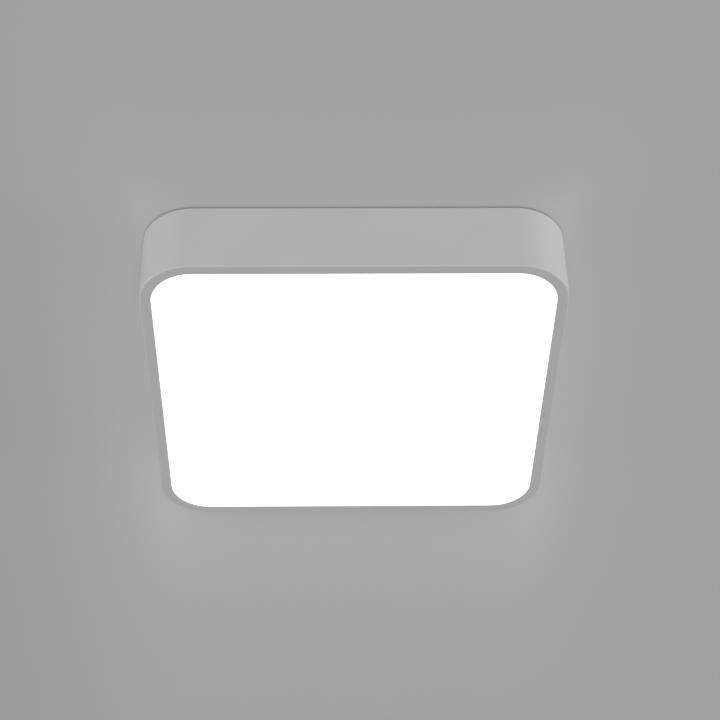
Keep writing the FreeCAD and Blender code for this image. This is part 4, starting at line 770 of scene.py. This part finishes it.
def capacitor(x, radius):
    """Electrolytic capacitor: a sleeved can with its rolled groove and dished end."""
    top, foot = -7.4, -17.9
    profile = [(0.0, top), (radius * 0.9, top), (radius, top - 0.4), (radius, top - 1.3),
               (radius * 0.94, top - 1.7), (radius, top - 2.1), (radius, foot + 0.5),
               (radius * 0.95, foot + 0.1), (radius * 0.86, foot), (radius * 0.8, foot + 0.3),
               (0.0, foot + 0.3)]
    return turned(profile, x, DRIVER_Y, 40)


# ---------------------------------------------------------------- wires, on the same routes as their solids

WIRE_RADIUS, LAMP_RADIUS, LINK_RADIUS = 1.1, 1.4, 0.8
TERMINAL_LEVEL, PLUG_LEVEL = -6.4, -10.8
LAMP_LEVEL = -26.85


def wire(name, slot, radius, routes, replaced):
    """Insulated wires, each on one smooth curve along its route."""
    line = bpy.data.curves.new(name, "CURVE")
    line.dimensions = "3D"
    line.bevel_depth, line.bevel_resolution, line.resolution_u = radius * MM, 4, 16
    line.use_fill_caps = True
    for route in routes:
        spline = line.splines.new("NURBS")
        spline.points.add(len(route) - 1)
        for point, place in zip(spline.points, route):
            point.co = (*(Vector(place) * MM), 1.0)
        spline.order_u, spline.use_endpoint_u = 3, True
    line.materials.append(finish[slot])
    piece = bpy.data.objects.new(name, line)
    scene.collection.objects.link(piece)
    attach(piece, "base")
    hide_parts(*replaced)


def wires():
    start, plug = TERMINAL_X + 9.0, 52.0
    wire("live_lead", "brown_wire", WIRE_RADIUS,
         [[(start, POLE_PITCH, TERMINAL_LEVEL), (75.5, POLE_PITCH, TERMINAL_LEVEL), (80.5, 37.0, PLUG_LEVEL),
           (75.5, 71.0, PLUG_LEVEL), (plug, 71.0, PLUG_LEVEL)]], ["live_wire"])
    wire("neutral_lead", "blue_wire", WIRE_RADIUS,
         [[(start, 0.0, TERMINAL_LEVEL), (80.5, 0.0, TERMINAL_LEVEL), (85.5, 37.0, PLUG_LEVEL),
           (80.5, 77.0, PLUG_LEVEL), (plug, 77.0, PLUG_LEVEL)]], ["neutral_wire"])
    wire("earth_lead", "earth_wire", WIRE_RADIUS,
         [[(start, -POLE_PITCH, TERMINAL_LEVEL), (67.0, -POLE_PITCH, TERMINAL_LEVEL), (74.5, -8.4, -6.0),
           (76.2, -13.0, -3.6), (76.0, -17.0, -2.7), (76.0, -21.9, -2.7)]], ["earth_wire"])
    wire("lamp_lead", "white_wire", LAMP_RADIUS,
         [[(-plug, DRIVER_Y, PLUG_LEVEL), (-66.0, DRIVER_Y, PLUG_LEVEL), (-80.0, 104.0, PLUG_LEVEL),
           (BUSH_X, BUSH_Y, PLUG_LEVEL), (BUSH_X, BUSH_Y, LAMP_LEVEL), (-129.0, 118.0, LAMP_LEVEL),
           (-129.0, 101.5, LAMP_LEVEL), (SOCKET_X, 101.5, LAMP_LEVEL)]], ["led_lead"])
    aside, lead_in = SOCKET_X - 5.0, 8.0
    links = []
    for near, far in zip(STRIP_Y, STRIP_Y[1:]):
        first, last = near + SOCKET_AHEAD, far - SOCKET_AHEAD
        for level in (-26.05, -27.65):
            links.append([(SOCKET_X, first, level), (aside, first, level), (aside, near + lead_in, level),
                          (aside, far - lead_in, level), (aside, last, level), (SOCKET_X, last, level)])
    wire("link_leads", "white_wire", LINK_RADIUS, links, ["strip_links"])


# ---------------------------------------------------------------- ceiling

CEILING_GREY = 0.415
CEILING_REACH, CEILING_HEIGHT = 4.0, 0.0003
# Painted light: a glow painted into the ceiling's colour round the light, with its strength, its reach, and
# its stretch behind and before the light.
PAINTED_GLOW, PAINTED_GLOW_REACH = 0.47, 0.030
PAINTED_GLOW_BEHIND, PAINTED_GLOW_BEFORE = 0.22, 0.6
# Painted shadow: how much the ceiling's colour is darkened over the light, so that the gap above its wall
# looks shaded.
PAINTED_GAP_SHADOW = 0.30


def painted_gap_shadow(tree):
    """Mask of a painted shadow: 1 over the light, where the gap above its wall is painted dark, and 0 just
    outside it.
    """
    x, y, _ = object_sides(tree)
    straight = (FRAME_HALF - FRAME_CORNER) * MM
    squares = []
    for side in (x, y):
        past = maths(tree, "MAXIMUM", less(tree, maths(tree, "ABSOLUTE", side), straight), 0.0)
        squares.append(times(tree, past, past))
    away = less(tree, maths(tree, "SQRT", plus(tree, *squares)), FRAME_CORNER * MM)
    return fade(tree, away, 0.0010, -0.0010)


def painted_glow_round_light(tree):
    """Mask of a painted glow on the ceiling: 1 beside the light and 0 far from it. It reaches furthest behind
    the light, and is weak before it.
    """
    x, y, _ = object_sides(tree)
    edge = FRAME_HALF * MM
    aside = maths(tree, "MAXIMUM", less(tree, maths(tree, "ABSOLUTE", x), edge), 0.0)
    behind = times(tree, maths(tree, "MAXIMUM", less(tree, y, edge), 0.0), PAINTED_GLOW_BEHIND)
    before = times(tree, maths(tree, "MINIMUM", plus(tree, y, edge), 0.0), PAINTED_GLOW_BEFORE)
    along = plus(tree, behind, maths(tree, "ABSOLUTE", before))
    away = maths(tree, "SQRT", plus(tree, times(tree, aside, aside), times(tree, along, along)))
    near_side = fade(tree, y, -0.165, 0.02, 0.42, 1.0)
    return times(tree, maths(tree, "POWER", 2.718, maths(tree, "DIVIDE", away, -PAINTED_GLOW_REACH)), near_side)


def ceiling():
    """The ceiling that the light is fixed to, seen from below alone, so other views look past it. Its colour
    holds painted light: a painted glow round the light, a painted shadow in the gap above its wall, and
    painted shade towards the left.
    """
    tree, sockets = new_material("ceiling_paint", Roughness=0.9, Specular_IOR_Level=0.1)
    coat = use_group(tree, groups.coat, Size=0.004, Tone_Depth=0.01)
    # Painted light: the painted glow lightens the ceiling's colour round the light.
    painted_glow = plus(tree, times(tree, painted_glow_round_light(tree), PAINTED_GLOW), 1.0)
    # Painted shadow: the ceiling's colour is darkened over the light's footprint.
    shade = less(tree, 1.0, times(tree, painted_gap_shadow(tree), PAINTED_GAP_SHADOW))
    # Painted shade: the ceiling's colour is made darker towards the left.
    painted_left_shade = fade(tree, object_sides(tree)[0], -0.35, -0.14, 0.93, 1.0)
    grey = rgb(CEILING_GREY, CEILING_GREY, CEILING_GREY)
    tree.links.new(toned(tree, grey, coat["Tone"], painted_glow, shade, painted_left_shade), sockets["Base Color"])
    bumped(tree, sockets, coat["Height"], 0.00005, 0.4)
    paint = tree.nodes["Principled BSDF"].outputs[0]
    clear = node(tree, "ShaderNodeBsdfTransparent").outputs[0]
    behind = node(tree, "ShaderNodeNewGeometry").outputs["Backfacing"]
    one_sided = node(tree, "ShaderNodeMixShader", ((0, behind), (1, paint), (2, clear)))
    tree.links.new(one_sided.outputs[0], tree.nodes["Material Output"].inputs["Surface"])
    corners = [(-1, -1), (-1, 1), (1, 1), (1, -1)]
    mesh = bpy.data.meshes.new("ceiling")
    mesh.from_pydata([(x * CEILING_REACH, y * CEILING_REACH, CEILING_HEIGHT) for x, y in corners],
                     [], [(0, 1, 2, 3)])
    mesh.materials.append(finish["ceiling_paint"])
    plane = bpy.data.objects.new("ceiling", mesh)
    scene.collection.objects.link(plane)
    plane.visible_shadow = False
    plane.visible_diffuse = False


# ---------------------------------------------------------------- light and room

ROOM_LIGHT, ROOM_SEEN = rgb(0.60, 0.60, 0.60), rgb(0.355, 0.355, 0.355)
# Each sun's name, the direction that it comes from, its strength, and its width in degrees.
SUNS = [("key", (0.0, -0.85, -0.52), 1.38, 40),
        ("right", (1.0, 0.0, 0.0), 1.08, 20),
        ("left", (-1.0, 0.0, 0.0), 0.94, 20),
        ("upper", (0.35, 0.25, 0.9), 1.6, 50)]


def studio():
    """Even light from the room. The camera, gloss and clear pieces see its walls a little darker."""
    world = bpy.data.worlds.new("studio")
    scene.world = world
    world.use_nodes = True
    tree = world.node_tree
    tree.nodes.clear()
    room, seen = (node(tree, "ShaderNodeBackground", (("Color", colour), ("Strength", 1.0))).outputs[0]
                  for colour in (ROOM_LIGHT, ROOM_SEEN))
    rays = node(tree, "ShaderNodeLightPath").outputs
    through = maths(tree, "MAXIMUM", rays["Is Glossy Ray"], rays["Is Transmission Ray"])
    shown = maths(tree, "MAXIMUM", rays["Is Camera Ray"], through)
    mix = node(tree, "ShaderNodeMixShader", ((0, shown), (1, room), (2, seen)))
    tree.links.new(mix.outputs[0], tree.nodes.new("ShaderNodeOutputWorld").inputs["Surface"])
    for name, source, strength, spread in SUNS:
        data = bpy.data.lights.new(name, "SUN")
        data.energy, data.angle = strength, math.radians(spread)
        light = bpy.data.objects.new(name, data)
        scene.collection.objects.link(light)
        light.rotation_euler = (-Vector(source)).to_track_quat("-Z", "Y").to_euler()


# ---------------------------------------------------------------- the light

place_camera()
ceiling()
studio()
cover_frame()
cover_diffuser()
pressed_tray()
strips_and_lamps()
screws()
rubber()
base_piece("capacitor_pair", [capacitor(26.9, 5.0), capacitor(-26.9, 4.0)], "capacitor_sleeve",
           "driver_capacitors")
wires()

for item in frame["record"]["subparts"]:
    part = frame["nodes"][item["node"]]
    part.data.materials.clear()
    part.data.materials.append(finish[item["material_slot"]])

# Width in millimetres of the rounding on the edges of the CAD nodes that stay.
EDGES = {"base_pan": 0.35, "driver_case": 0.4, "driver_lid": 0.4, "driver_input_plug": 0.25,
         "driver_output_plug": 0.25, "driver_transformer": 0.4, "driver_board": 0.1, "strip_sockets": 0.25,
         "tray_pillars": 0.15, "catch_rivets": 0.1, "earth_stud": 0.1, "earth_lug": 0.1, "earth_nut": 0.2}
EDGES.update({f"led_strip_{number}": 0.15 for number in range(1, 5)})
EDGES.update({f"catch_spring_{number}": 0.12 for number in range(1, 5)})
EDGES.update({f"{kind}_{pole}": 0.3 for pole in ("earth", "neutral", "live") for kind in ("pole", "lever")})
for name, width in EDGES.items():
    soften(name, width)
